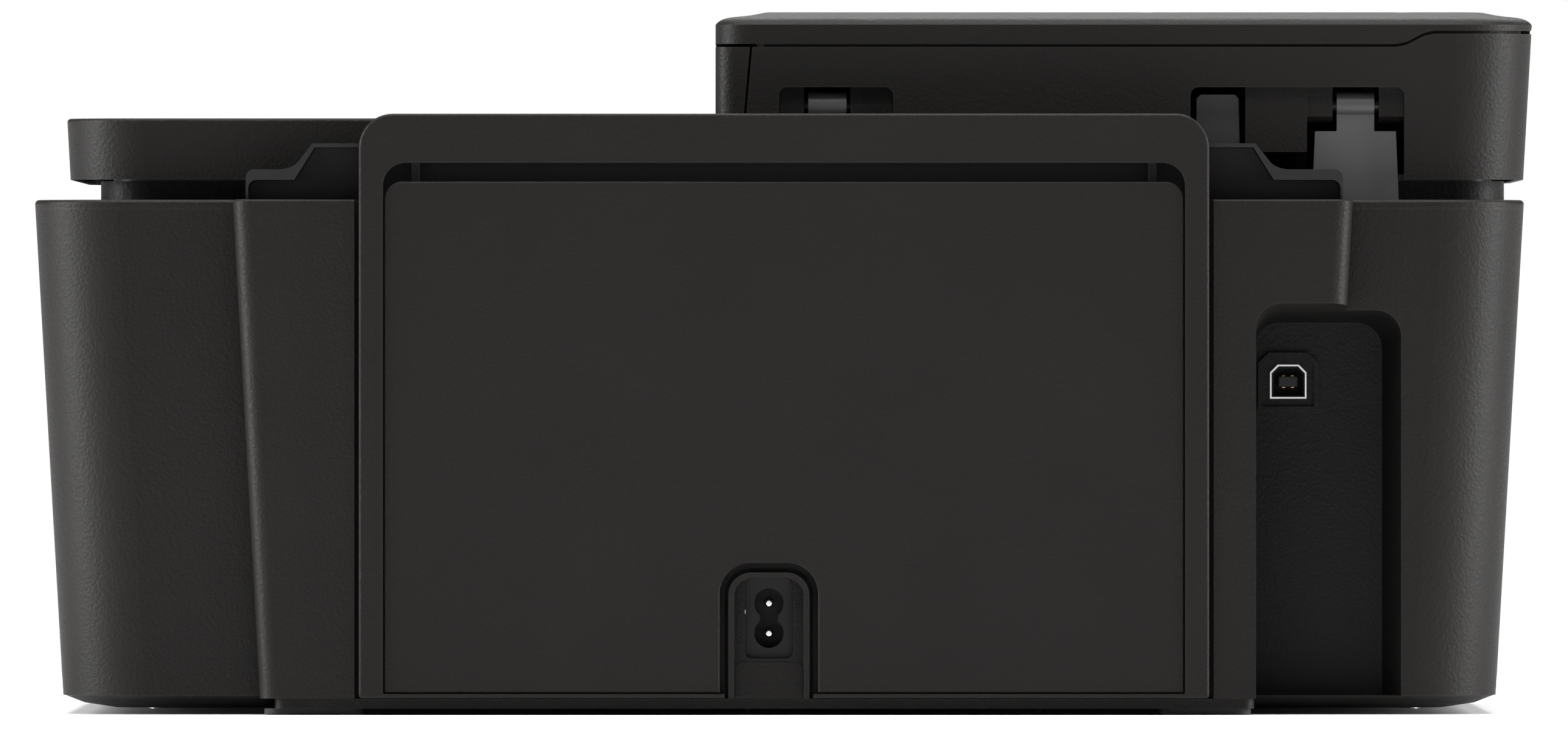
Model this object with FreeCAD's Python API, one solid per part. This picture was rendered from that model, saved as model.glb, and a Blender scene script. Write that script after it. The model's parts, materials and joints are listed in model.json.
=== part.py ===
import FreeCAD, Part
# All-in-one inkjet printer with a document feeder on its scanner lid.
# Millimetres. +Z is up, the front faces -Y, and the origin is the middle of the
# footprint at the height that the feet stand on. "Left" and "right" are as seen
# by a user at the front, so left is -X.
import math
import os

V = FreeCAD.Vector

# ---------------------------------------------------------------- driving sizes
# casing
WALL = 2.5                 # moulded wall of the casings
CASE_MID_X = 1.3           # middle of the body, beside the middle of the whole
CASE_HALF_W = 212.8        # half width at the top of the body
CASE_TAPER = 8.1           # how far each side leans in towards the bottom
CASE_FRONT_Y = -166.0
CASE_BACK_Y = 150.0
CASE_BOTTOM_Z = 5.2
CASE_TOP_Z = 146.6
CASE_CORNER_R = 24.0
PAN_BOTTOM_Z = 1.6         # underside of the base pan, above the feet
PAN_CHAMFER = 15.0         # how far the pan's underside is set in
TAIL_SHORT = 2.9           # how far its tail stops short of the back, clear of the leaning tray
# back housing and input tray
HOUSING_BACK_Y = 163.0
HOUSING_R = 5.0
HOUSING_LEFT_TOP_X = -162.0
HOUSING_RIGHT_TOP_X = 157.0
HOUSING_LEAN = 7.8         # how far its sides lean in towards the bottom
TRAY_HALF_W = 121.0
TRAY_BACK_Y = 166.0
TRAY_THICK = 8.0
TRAY_TOP_Z = 171.0
TRAY_BOTTOM_Z = 4.6
TRAY_CORNER_R = 9.7
TRAY_LEG_W = 6.9
TRAY_BAR_H = 14.0
GRIP_H = 5.4               # finger gap between the frame's bar and the panel
TRAY_GAP = 1.3             # play between tray and housing
TILT_PIN_R = 1.2           # pins that the raised tray leans back on
# cable recess and sockets
RECESS_LEFT_X = -175.9
RECESS_RIGHT_X = -134.3
RECESS_TOP_Z = 117.0
RECESS_R = 7.5
RECESS_FLOOR_Y = 126.0
RECESS_SIDE_SLOPE, RECESS_CEILING_SLOPE = 5.0, 5.4
USB_X, USB_Z = -144.1, 94.7
USB_RING_W, USB_RING_H = 8.6, 8.3    # half sizes of the raised surround of the data socket
INLET_X, INLET_Z = 4.3, 27.35
PIN_PITCH = 8.6            # two-pin appliance inlet
PIN_R = 1.18
# scanner
NECK_LEFT_X, NECK_RIGHT_X = -206.4, 195.8
NECK_FRONT_Y, NECK_BACK_Y = -150.0, 113.0
NECK_TOP_Z = 152.1
NECK_R = 14.0
SEAL_H = 1.9               # raised rim on the bezel that keeps light out
TUB_FLOOR_Z = 118.0
GLASS_T = 3.0
GLASS_X0, GLASS_X1 = -166.0, 150.0
GLASS_Y0, GLASS_Y1 = -114.0, 104.0
# lid
LID_BOTTOM_Z = 152.5
LID_TOP_Z = 170.0
FEEDER_TOP_Z = 190.4
FEEDER_HIGH_Z = 194.2      # raised edge at the tray hinge
FEEDER_RIGHT_X = 19.6
LID_BACK_Y = 125.0
LID_FRONT_Y = -160.5
LID_LEFT_X, LID_RIGHT_X = -212.8, 205.4
LID_LEAN = 0.056           # outward lean of the lid's front and sides, per mm of height
LID_BACK_LEAN = 0.012      # the same for its back
LID_CORNER_R = 22.0
LID_WALL = 2.4
COVER_EDGE_Z = 196.8
COVER_CROWN_Z = 200.0
COVER_WALL = 2.2
COVER_ROOM_Z = 196.2       # underside of the cover's top
CONSOLE_WALL = 2.0         # the cover's wall beside the console
CONSOLE_STEP_Z = 152.5     # the console is narrower below this height
CONSOLE_FOOT_IN = 4.6
RIB = 1.6                  # ribs that stop light at a seam
RIB_YS = (LID_BACK_Y - 9, LID_FRONT_Y + 6)
CROWN_INSET = 18.0         # how far in the cover's rounded edge runs
CROWN_STEPS = 4
SEAM = 0.9
SEAM_LIP = 2.4             # height of the lip that closes the seam from inside
PIVOT_Y, PIVOT_Z = 119.5, 173.6
PIVOT_R = 1.5
ARM_T = 6.0
ARM_TOP_R = 3.9
CONSOLE_X1, CONSOLE_Y1 = -173.0, -60.0
CONSOLE_TOP_Z = 168.5
# paper hood
HOOD_LEFT_X, HOOD_RIGHT_X = -159.2, 153.3
HOOD_LOW_Z, HOOD_HIGH_Z = 155.2, 162.6
HOOD_STEP_X = 134.3        # where the high middle ends
HOOD_SWEEP = 9.4           # length of the sweep down to each ear
# print engine
FRAME_HALF_W = 180.0
FRAME_T = 1.5
FRAME_BACK_Y = 58.5
FRAME_FRONT_Y = -36.0
FRAME_BOTTOM_Z, FRAME_TOP_Z = 30.0, 112.0
ROD_Y, ROD_Z, ROD_R = 38.0, 98.0, 4.0
FEED_Y, FEED_Z = 24.0, 46.0
OUT_Y, OUT_Z = -26.0, 46.0
SHAFT_R = 3.0
ROLLER_R = 6.0
CLEAR = 0.06               # radial play of a shaft in its bore
PLAY = 0.4                 # play between parts that pass each other
MODULE = 1.0
FEED_TEETH, PINION_TEETH, OUT_TEETH, IDLER_TEETH = 40, 12, 20, 20
GEAR_W = 5.0
GEAR_X = -188.5            # outer face of the gear train, outside the frame's left side
PULLEY_R = 6.0
PULLEY_X = 168.0
BELT_Z = 80.0
BELT_Y0, BELT_Y1 = 47.0, 51.0
CARRIAGE_W = 64.0
CARRIAGE_HOME_X = 143.0
CART_W = 26.0
# openings at the front
MOUTH_HALF_W = 118.0
MOUTH_BOTTOM_Z, MOUTH_TOP_Z = 26.0, 120.0
MOUTH_R = 4.0
DOOR_BOTTOM_Z = 66.0
EXTENDER_HALF_W = 62.0
EXTENDER_T = 3.0
EXTENDER_Z = 28.0
GUIDE_X = 104.0            # where the paper guides stand at rest
GUIDE_TEETH = 14

parts = {}


# ---------------------------------------------------------------- shape helpers
def box(x0, x1, y0, y1, z0, z1):
    return Part.makeBox(x1 - x0, y1 - y0, z1 - z0, V(x0, y0, z0))


def rod(axis, start, end, a, b, r):
    """Cylinder along X, Y or Z between start and end; a and b are its other two coordinates."""
    base = {"x": V(start, a, b), "y": V(a, start, b), "z": V(a, b, start)}[axis]
    way = {"x": V(1, 0, 0), "y": V(0, 1, 0), "z": V(0, 0, 1)}[axis]
    return Part.makeCylinder(r, end - start, base, way)


def rounded_wire(u0, u1, v0, v1, radii, place):
    """Closed outline of a rectangle with its own radius at each corner, counter-clockwise from u0,v0.

    place turns (u, v) into a point.
    """
    corners = [(u0, v0, 180), (u1, v0, 270), (u1, v1, 0), (u0, v1, 90)]
    signs = [(1, 1), (-1, 1), (-1, -1), (1, -1)]
    edges = []
    points = []
    for (u, v, start), (su, sv), r in zip(corners, signs, radii):
        cu, cv = u + su * r, v + sv * r
        arc = []
        for turn in (0, 45, 90):
            a = math.radians(start + turn)
            arc.append(place(cu + r * math.cos(a), cv + r * math.sin(a)))
        points.append(arc)
    for i, arc in enumerate(points):
        following = points[(i + 1) % 4][0]
        if radii[i] > 0:
            edges.append(Part.Arc(arc[0], arc[1], arc[2]).toShape())
        if (following - arc[2]).Length > 1e-6:
            edges.append(Part.LineSegment(arc[2], following).toShape())
    return Part.Wire(edges)


def plan_wire(x0, x1, y0, y1, z, radii):
    if not isinstance(radii, (list, tuple)):
        radii = [radii] * 4
    return rounded_wire(x0, x1, y0, y1, radii, lambda u, v: V(u, v, z))


def plan_block(x0, x1, y0, y1, z0, z1, radii):
    face = Part.Face(plan_wire(x0, x1, y0, y1, z0, radii))
    return face.extrude(V(0, 0, z1 - z0))


def back_block(x0, x1, z0, z1, y0, y1, radii):
    """Block whose rounded outline is seen from the back, extruded along Y."""
    if not isinstance(radii, (list, tuple)):
        radii = [radii] * 4
    wire = rounded_wire(x0, x1, z0, z1, radii, lambda u, v: V(u, y0, v))
    return Part.Face(wire).extrude(V(0, y1 - y0, 0))


def stack(*wires):
    """Solid through outlines of the same kind, with straight sides between each two."""
    pieces = [Part.makeLoft([a, b], True, True) for a, b in zip(wires, wires[1:])]
    return pieces[0] if len(pieces) == 1 else pieces[0].fuse(pieces[1:]).removeSplitter()


def polygon(points):
    return Part.Face(Part.makePolygon(points + points[:1]))


def prism_y(outline, y0, y1):
    """(x, z) corners extruded along Y."""
    return polygon([V(x, y0, z) for x, z in outline]).extrude(V(0, y1 - y0, 0))


def prism_x(outline, x0, x1):
    """(y, z) corners extruded along X."""
    return polygon([V(x0, y, z) for y, z in outline]).extrude(V(x1 - x0, 0, 0))


def join(*shapes):
    return shapes[0].fuse(list(shapes[1:])).removeSplitter()


def cut(shape, *tools):
    return shape.cut(list(tools)) if len(tools) > 1 else shape.cut(tools[0])


def soften(shape, r, chosen):
    """Fillet the edges that chosen(edge) picks, one radius for all."""
    edges = [e for e in shape.Edges if chosen(e)]
    return shape.makeFillet(r, edges) if edges else shape


def at_height(z, tol=0.02):
    def chosen(edge):
        b = edge.BoundBox
        return abs(b.ZMin - z) < tol and abs(b.ZMax - z) < tol
    return chosen


def keep(name, *solids):
    parts[name] = solids[0] if len(solids) == 1 else Part.makeCompound(list(solids))


# ---------------------------------------------------------------- gears
def tooth_angle(teeth):
    return 2 * math.pi / teeth


def gear(teeth, x0, width, y, z, phase=0.0, bore=None):
    """Spur gear on an X axis. phase turns it; at 0 a tooth points along +Y."""
    pitch_r = MODULE * teeth / 2
    tip_r, root_r = pitch_r + 0.8 * MODULE, pitch_r - 1.05 * MODULE
    step = tooth_angle(teeth)
    outline = []
    for i in range(teeth):
        middle = phase + i * step
        for r, half in ((root_r, 0.30), (tip_r, 0.09), (tip_r, -0.09), (root_r, -0.30)):
            a = middle - half * step
            outline.append(V(x0, y + r * math.cos(a), z + r * math.sin(a)))
    solid = polygon(outline).extrude(V(width, 0, 0))
    if bore:
        solid = cut(solid, rod("x", x0 - 1, x0 + width + 1, y, z, bore))
    return solid


def meshing_phase(teeth, other_teeth, other_phase, direction):
    """Phase of a gear whose tooth gap takes the other's tooth; direction points from the other to it."""
    step, other_step = tooth_angle(teeth), tooth_angle(other_teeth)
    offset = (direction - other_phase) / other_step
    share = offset - math.floor(offset)
    return direction + math.pi + share * step + step / 2


# ---------------------------------------------------------------- casing
def case_outline(z, inset, back_inset=0.0):
    """Plan outline of the tapered body at height z, set in by inset all round."""
    share = (CASE_TOP_Z - z) / (CASE_TOP_Z - CASE_BOTTOM_Z)
    half = CASE_HALF_W - CASE_TAPER * share - inset
    front = CASE_FRONT_Y + CASE_TAPER * share + inset
    return plan_wire(CASE_MID_X - half, CASE_MID_X + half, front, CASE_BACK_Y - inset - back_inset, z,
                     CASE_CORNER_R - inset)


def recess_space(grow, y0):
    """The cable recess that runs down to the foot of the back; grow makes it larger for its lining.

    Its ceiling and its outer side slope, so that it narrows towards its floor.
    """
    def outline(y):
        share = (HOUSING_BACK_Y - y) / (HOUSING_BACK_Y - RECESS_FLOOR_Y)
        left = RECESS_LEFT_X + RECESS_SIDE_SLOPE * (CASE_BACK_Y - y) / (CASE_BACK_Y - RECESS_FLOOR_Y)
        top = RECESS_TOP_Z - RECESS_CEILING_SLOPE * share
        r = RECESS_R + grow
        return rounded_wire(left - grow, RECESS_RIGHT_X + grow, -10.0, top + grow, [0.1, 0.1, r, r],
                            lambda u, v: V(u, y, v))
    return stack(outline(y0), outline(HOUSING_BACK_Y + 5))


def housing_outline_wire(y, inset):
    """Back view of the housing: upright sides that lean in towards the foot."""
    z0, z1 = TRAY_BOTTOM_Z - 0.1, CASE_TOP_Z - inset
    left, right = HOUSING_LEFT_TOP_X + inset, HOUSING_RIGHT_TOP_X - inset
    points = [V(left, y, z1), V(right, y, z1), V(right - HOUSING_LEAN, y, z0), V(left + HOUSING_LEAN, y, z0)]
    return Part.makePolygon(points + points[:1])


def make_case():
    outer = stack(case_outline(CASE_BOTTOM_Z, 0), case_outline(CASE_TOP_Z, 0))
    outer = soften(outer, 1.2, at_height(CASE_TOP_Z))
    inner = stack(case_outline(CASE_BOTTOM_Z, WALL), case_outline(CASE_TOP_Z - WALL, WALL))
    shell = cut(outer, inner)
    lining = recess_space(WALL, RECESS_FLOOR_Y - WALL).common(
        stack(case_outline(CASE_BOTTOM_Z, WALL), case_outline(CASE_TOP_Z, WALL)))
    deck_hole = plan_block(NECK_LEFT_X + 15, NECK_RIGHT_X - 12, NECK_FRONT_Y + 10, NECK_BACK_Y - 1,
                           CASE_TOP_Z - 10, CASE_TOP_Z + 5, 8)
    paper_hole = box(-118, 118, 126.5, CASE_BACK_Y + 1, CASE_TOP_Z - 10, CASE_TOP_Z + 5)
    back_hole = box(HOUSING_LEFT_TOP_X + 32, HOUSING_RIGHT_TOP_X - 16, CASE_BACK_Y - WALL - 2,
                    CASE_BACK_Y + 1,
                    0, CASE_TOP_Z + 1)
    mouth = back_block(-MOUTH_HALF_W, MOUTH_HALF_W, MOUTH_BOTTOM_Z, MOUTH_TOP_Z, CASE_FRONT_Y - 2,
                       CASE_FRONT_Y + 25, MOUTH_R)
    keep("outer_case", cut(shell, deck_hole, paper_hole, back_hole, mouth, recess_space(0, RECESS_FLOOR_Y)))
    liner = cut(lining, recess_space(0, RECESS_FLOOR_Y))
    socket_hole = box(USB_X - USB_RING_W, USB_X + USB_RING_W, RECESS_FLOOR_Y - 5, RECESS_FLOOR_Y + 1,
                      USB_Z - USB_RING_H, USB_Z + USB_RING_H)
    floor_zone = box(-300, 0, 0, RECESS_FLOOR_Y, -50, CASE_TOP_Z)
    keep("recess_liner", cut(liner.common(floor_zone), socket_hole), cut(liner, floor_zone))


def divide_case():
    """Part the casing into its walls and its deck, which are moulded apart and welded."""
    deck_zone = box(-300, 300, -300, 300, CASE_TOP_Z - WALL, CASE_TOP_Z + 5)
    whole = parts["outer_case"]
    keep("outer_case", *whole.cut(deck_zone).Solids, *whole.common(deck_zone).Solids)


def make_pan():
    half = CASE_HALF_W - CASE_TAPER

    def outline(z, inset):
        return plan_wire(CASE_MID_X - half + inset, CASE_MID_X + half - inset,
                         CASE_FRONT_Y + CASE_TAPER + inset,
                         CASE_BACK_Y - inset, z, CASE_CORNER_R - inset * 0.5)
    skin = stack(outline(PAN_BOTTOM_Z, PAN_CHAMFER), outline(PAN_BOTTOM_Z + 1.4, PAN_CHAMFER * 0.4),
                 outline(CASE_BOTTOM_Z, 0.4))
    tail = plan_block(RECESS_RIGHT_X + PLAY, HOUSING_RIGHT_TOP_X - 12, CASE_BACK_Y - 30,
                      HOUSING_BACK_Y - TAIL_SHORT, PAN_BOTTOM_Z, TRAY_BOTTOM_Z - 0.2, [0, 0, 3, 3])
    pan = join(skin, tail)
    posts = [box(x - 6, x + 6, y - 6, y + 6, CASE_BOTTOM_Z - 1, FRAME_BOTTOM_Z)
             for x in (-FRAME_HALF_W + 9, FRAME_HALF_W - 9) for y in (FRAME_FRONT_Y + 10, FRAME_BACK_Y - 8)]
    rim = cut(plan_block(-190, 190, -140, 110, CASE_BOTTOM_Z - 0.5, CASE_BOTTOM_Z + 6, 10),
              plan_block(-188, 188, -138, 108, CASE_BOTTOM_Z - 1, CASE_BOTTOM_Z + 7, 8))
    ribs = [box(-188, 188, y, y + 1.8, CASE_BOTTOM_Z - 0.5, CASE_BOTTOM_Z + 5) for y in (-90, -60, 75)]
    hooks = [box(x, x + 1.0, 140, 143, 0.3, PAN_BOTTOM_Z + 0.5) for x in (-73.5, 10.0)]
    keep("base_pan", join(pan, rim, *posts, *ribs, *hooks))


def make_feet():
    pads = [plan_block(120, 148, 122, 158, 0, PAN_BOTTOM_Z, 4), plan_block(-133, -107, 122, 158, 0,
                                                                           PAN_BOTTOM_Z, 4)]
    for x in (-165, 165):
        pads.append(rod("z", 0, PAN_BOTTOM_Z, x, -118, 9))
    keep("rubber_feet", *pads)


def make_housing():
    """Back housing around the input tray, with the surround of the power inlet."""
    block = Part.Face(housing_outline_wire(CASE_BACK_Y, 0)).extrude(V(0, HOUSING_BACK_Y - CASE_BACK_Y, 0))

    def upright_outside(edge):
        b = edge.BoundBox
        outside = (b.XMax > HOUSING_RIGHT_TOP_X - HOUSING_LEAN - 1
                   or b.XMin < HOUSING_LEFT_TOP_X + HOUSING_LEAN + 1)
        return outside and b.ZLength > 50 and b.YMin > HOUSING_BACK_Y - 0.1
    block = soften(block, HOUSING_R, upright_outside)
    block = soften(block, 0.8, at_height(CASE_TOP_Z))
    slot_w = TRAY_HALF_W + TRAY_GAP
    hollow_face = Part.Face(housing_outline_wire(CASE_BACK_Y, WALL + 0.6))
    hollow = hollow_face.extrude(V(0, HOUSING_BACK_Y - CASE_BACK_Y - WALL, 0))
    hollow = hollow.common(join(
        box(RECESS_RIGHT_X + WALL, 160, 0, 200, TRAY_BOTTOM_Z + 3, CASE_TOP_Z - WALL),
        box(-170, RECESS_RIGHT_X + WALL + 1, 0, 200, RECESS_TOP_Z + WALL, CASE_TOP_Z - WALL)))
    plate_y = TRAY_BACK_Y - TRAY_THICK - 1.2
    lane = box(-slot_w - WALL, slot_w + WALL, CASE_BACK_Y - 1, HOUSING_BACK_Y, TRAY_BOTTOM_Z, CASE_TOP_Z)
    hollow = cut(hollow, lane)
    paper_room = box(-slot_w + 4, slot_w - 4, CASE_BACK_Y - 1, plate_y - WALL, 60, CASE_TOP_Z + 1)
    lower_room = box(-slot_w + 4, slot_w - 4, CASE_BACK_Y - 1, plate_y - WALL, TRAY_BOTTOM_Z + 3, 57)
    tray_lane = box(-slot_w, slot_w, plate_y, HOUSING_BACK_Y + 10, 0, CASE_TOP_Z + 1)
    shell = cut(block, hollow, tray_lane, paper_room, lower_room, recess_space(0, RECESS_FLOOR_Y))
    surround = back_block(INLET_X - 11.5, INLET_X + 11.5, TRAY_BOTTOM_Z - 0.1, 40.4, plate_y - WALL,
                          TRAY_BACK_Y - 0.6,
                          [0, 0, 6.5, 6.5])
    basin = back_block(INLET_X - 9.9, INLET_X + 9.9, 0, 38.9, TRAY_BACK_Y - 4.6, TRAY_BACK_Y + 1, [0, 0, 5,
                                                                                                   5])
    plug_hole = back_block(INLET_X - 6.8, INLET_X + 6.8, INLET_Z - 11.5, INLET_Z + 11.5, CASE_BACK_Y - 1,
                           TRAY_BACK_Y + 1, 2)
    shell = cut(shell, surround)
    plate = back_block(INLET_X - 9.6, INLET_X + 9.6, TRAY_BOTTOM_Z, 14.6, TRAY_BACK_Y - 5, TRAY_BACK_Y - 4.1,
                       [0.5, 0.5, 2, 2])
    keep("rear_housing", *shell.Solids)
    keep("inlet_surround", join(cut(surround, basin, plug_hole), plate))


def make_inlet():
    body = back_block(INLET_X - 6.7, INLET_X + 6.7, INLET_Z - 11.4, INLET_Z + 11.4, 136, TRAY_BACK_Y - 8, 2)
    upper = rod("y", 146, TRAY_BACK_Y, INLET_X, INLET_Z + PIN_PITCH / 2, 4.2)
    lower = rod("y", 146, TRAY_BACK_Y, INLET_X, INLET_Z - PIN_PITCH / 2, 4.2)
    waist = box(INLET_X - 2.6, INLET_X + 2.6, 146, TRAY_BACK_Y, INLET_Z - 4, INLET_Z + 4)
    keep("power_inlet", cut(body, upper, lower, waist))
    pins = [rod("y", 146, 155.5, INLET_X, INLET_Z + side * PIN_PITCH / 2, PIN_R) for side in (-1, 1)]
    pins = [soften(p, 0.6, lambda e: e.BoundBox.YMin > 155.4) for p in pins]
    keep("inlet_pins", *pins)
    supply = cut(plan_block(-40, 66, 82, 134, 12, 52, 3), box(-38, 64, 84, 132, 14, 50))
    vents = [box(x, x + 3, 80, 136, 22, 42) for x in range(-30, 60, 8)]
    keep("power_supply", cut(supply, *vents))


def make_usb():
    """Square data socket with two cut corners, in its raised surround."""
    y = RECESS_FLOOR_Y

    def cut_corner(half_w, half_h, corner, y0, y1):
        pts = [(-half_w, -half_h), (half_w, -half_h), (half_w, half_h - corner), (half_w - corner, half_h),
               (-half_w + corner, half_h), (-half_w, half_h - corner)]
        return prism_y([(USB_X + px, USB_Z + pz) for px, pz in pts], y0, y1)
    ring = join(box(USB_X - USB_RING_W, USB_X + USB_RING_W, y - WALL, y, USB_Z - USB_RING_H,
                    USB_Z + USB_RING_H),
                cut_corner(USB_RING_W, USB_RING_H, 3.0, y - 0.1, y + 1.8))
    ring = cut(ring, cut_corner(USB_RING_W - 1.2, USB_RING_H - 1.2, 2.4, y + 0.4, y + 3),
               cut_corner(5.25, 4.9, 2.2, y - 5, y + 3))
    parts["recess_liner"] = Part.makeCompound([*parts["recess_liner"].Solids, ring])
    shell = cut(cut_corner(5.2, 4.85, 2.2, y - 16, y + 0.9), cut_corner(4.75, 4.4, 2.0, y - 14, y + 3))
    keep("usb_socket", shell)
    board = box(USB_X - 24, USB_X + 6, y - 60, y - 17, USB_Z - 8.5, USB_Z - 6.9)
    board = join(board, box(USB_X - 20, USB_X - 14, y - 55, y - 22, USB_Z - 7, USB_Z - 4),
                 box(USB_X - 8, USB_X + 2, y - 50, y - 38, USB_Z - 7, USB_Z - 5),
                 box(USB_X - 3, USB_X + 3, y - 18, y - 16, USB_Z - 8, USB_Z))
    keep("main_board", board)


# ---------------------------------------------------------------- input tray
def inlet_notch(grow, y0, y1):
    return back_block(INLET_X - 12.6 - grow, INLET_X + 12.6 + grow, -5, 41.6 + grow, y0, y1,
                      [0, 0, 7.4 + grow, 7.4 + grow])


def make_tray():
    y0 = TRAY_BACK_Y - TRAY_THICK
    inner_half = TRAY_HALF_W - TRAY_LEG_W
    panel_top = TRAY_TOP_Z - TRAY_BAR_H - GRIP_H
    outside = back_block(-TRAY_HALF_W, TRAY_HALF_W, TRAY_BOTTOM_Z, TRAY_TOP_Z, y0, TRAY_BACK_Y,
                         [1, 1, TRAY_CORNER_R, TRAY_CORNER_R])

    def outer_rim(edge):
        b = edge.BoundBox
        return b.YMin > TRAY_BACK_Y - 0.01 and b.ZMax > TRAY_BOTTOM_Z + 5
    outside = soften(outside, 0.9, outer_rim)
    window = back_block(-inner_half, inner_half, TRAY_BOTTOM_Z + 1.2, TRAY_TOP_Z - TRAY_BAR_H, y0 + 2.2,
                        TRAY_BACK_Y + 1, [0.4, 0.4, 6.5, 6.5])
    grip = back_block(-inner_half, inner_half, panel_top - 4, TRAY_TOP_Z - TRAY_BAR_H, y0 - 1,
                      TRAY_BACK_Y + 1,
                      [0.4, 0.4, 6.4, 6.4])
    frame = cut(outside, window, grip, inlet_notch(0, y0 - 1, TRAY_BACK_Y + 1))
    keep("tray_frame", frame)
    gap = 0.35
    panel = back_block(-inner_half + gap, inner_half - gap, TRAY_BOTTOM_Z + 1.2 + gap, panel_top, y0 + 2.2,
                       TRAY_BACK_Y - 0.5, [0.4, 0.4, 5, 5])
    panel = cut(panel, inlet_notch(1.4, y0, TRAY_BACK_Y + 1))
    panel = soften(panel, 0.5, lambda e: e.BoundBox.YMin > TRAY_BACK_Y - 0.51)
    hollow = back_block(-inner_half + 2.4, inner_half - 2.4, 50, panel_top - 2.4, y0 + 2.1,
                        TRAY_BACK_Y - 2.6, 3)
    keep("tray_panel", cut(panel, hollow))
    tilt_y, tilt_z = y0 + 3.0, TRAY_BOTTOM_Z + 3.5
    slides = []
    rooms = []
    for side in (-1, 1):
        lug_a, lug_b = sorted((side * (TRAY_HALF_W - 5.6), side * (TRAY_HALF_W - 2.6)))
        pin_a, pin_b = sorted((side * (TRAY_HALF_W - 6.4), side * (TRAY_HALF_W - 1.2)))
        plate = box(lug_a, lug_b, y0 - 1.0, y0 + 1.2, tilt_z - 2.1, tilt_z + 20)
        hub = join(rod("x", lug_a, lug_b, tilt_y, tilt_z, 2.2),
                   box(lug_a, lug_b, y0 - 1.0, tilt_y, tilt_z - 2.0, tilt_z + 2.0))
        slides.append(join(plate, hub, rod("x", pin_a, pin_b, tilt_y, tilt_z, TILT_PIN_R)))
        rooms.append(box(lug_a - 0.3, lug_b + 0.3, y0 - 1, y0 + 2, 0, tilt_z + 22))
        rooms.append(box(lug_a - 0.3, lug_b + 0.3, y0 - 1, tilt_y + 2.7, tilt_z - 5, tilt_z + 3.4))
        rooms.append(rod("x", pin_a - 0.2, pin_b + 0.2, tilt_y, tilt_z, TILT_PIN_R + CLEAR))
    keep("tray_slides", *slides)
    parts["tray_frame"] = cut(parts["tray_frame"], *rooms)


def hood(y_a, y_b, inner, floor_z):
    """Hood of the paper chute seen from the back: a high middle that sweeps down to a low ear at each side.

    inner is 1 for its hollow, which leaves a broad rim on the ears and a thin one above, and 0 outside.
    """
    side, low, high = 0.7 * inner, HOOD_LOW_Z - 3.0 * inner, HOOD_HIGH_Z - 1.1 * inner
    left, right = HOOD_LEFT_X + side, HOOD_RIGHT_X - side
    step_in, step_out = HOOD_STEP_X - 0.6 * inner, HOOD_STEP_X + HOOD_SWEEP - 4.2 * inner
    r = 2.4
    def place(x, z):
        return V(x, y_a, z)
    def corner(x, sign):
        k = r * (1 - math.sqrt(0.5))
        return Part.Arc(place(x, low - r), place(x - sign * k, low - k), place(x - sign * r, low)).toShape()
    edges = []
    for x, sign in ((right, 1), (left, -1)):
        sweep = [place(x - sign * r, low), place(sign * step_out, low), place(sign * step_in, high)]
        run = [Part.LineSegment(place(x, floor_z), place(x, low - r)).toShape(), corner(x, sign),
               Part.LineSegment(sweep[0], sweep[1]).toShape()]
        if not inner:
            knee = place(sign * (step_out - 5.0), low + 1.8)
            run.append(Part.Arc(sweep[1], place(sign * (step_out - 2.6), low + 0.45), knee).toShape())
            run.append(Part.LineSegment(knee, sweep[2]).toShape())
        else:
            run.append(Part.LineSegment(sweep[1], sweep[2]).toShape())
        edges += run
    edges.append(Part.LineSegment(place(step_in, high), place(-step_in, high)).toShape())
    edges.append(Part.LineSegment(place(left, floor_z), place(right, floor_z)).toShape())
    wire = Part.Wire(Part.__sortEdges__(edges))
    return Part.Face(wire).extrude(V(0, y_b - y_a, 0))


def make_throat():
    """Paper chute behind the scanner: a hood above the deck and a ramp down to the pick roller."""
    y0, y1 = 127.0, TRAY_BACK_Y - TRAY_THICK - 0.8
    shell = cut(hood(y0, y1, 0.0, CASE_TOP_Z + 0.1), hood(y0 + 2.2, y1 + 1, 1.0, CASE_TOP_Z))
    mouth = box(-114, 114, y0 + 8, y1 + 1, CASE_TOP_Z - 10, HOOD_HIGH_Z + 5)
    shell = cut(shell, mouth)
    front = box(-116, 116, y0 - 0.2, y0 + 2.0, 62, CASE_TOP_Z + 2)
    ramp = prism_x([(y0 + 2, 62), (y0 + 2, 64.5), (148.5, 72), (150.5, 72), (150.5, 70), (y0 + 14, 62)],
                   -112, 112)
    ends = [box(a, b, y0, 148, 62, CASE_TOP_Z + 0.1) for a, b in ((-117.5, -115.5), (115.5, 117.5))]
    body = join(shell, front, ramp, *ends)
    roller_gap = box(-22, 22, y0 - 1, y0 + 16, 56, 84)
    keep("paper_throat", cut(body, roller_gap))


def rack(x_start, count, z_pitch, up, y0, y1, phase_x):
    """Toothed bar along X. up is +1 when the teeth point up; phase_x is where one tooth stands."""
    pitch = math.pi * MODULE
    back = z_pitch - up * 3.0
    root = z_pitch - up * 1.05 * MODULE
    tip = z_pitch + up * 0.8 * MODULE
    first = math.ceil((x_start - phase_x) / pitch)
    outline = [(phase_x + (first - 0.5) * pitch, back)]
    for i in range(count):
        c = phase_x + (first + i) * pitch
        outline += [(c - 0.30 * pitch, root), (c - 0.09 * pitch, tip), (c + 0.09 * pitch, tip),
                    (c + 0.30 * pitch, root)]
    outline.append((phase_x + (first + count - 0.5) * pitch, back))
    return prism_y(outline, y0, y1)


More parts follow.
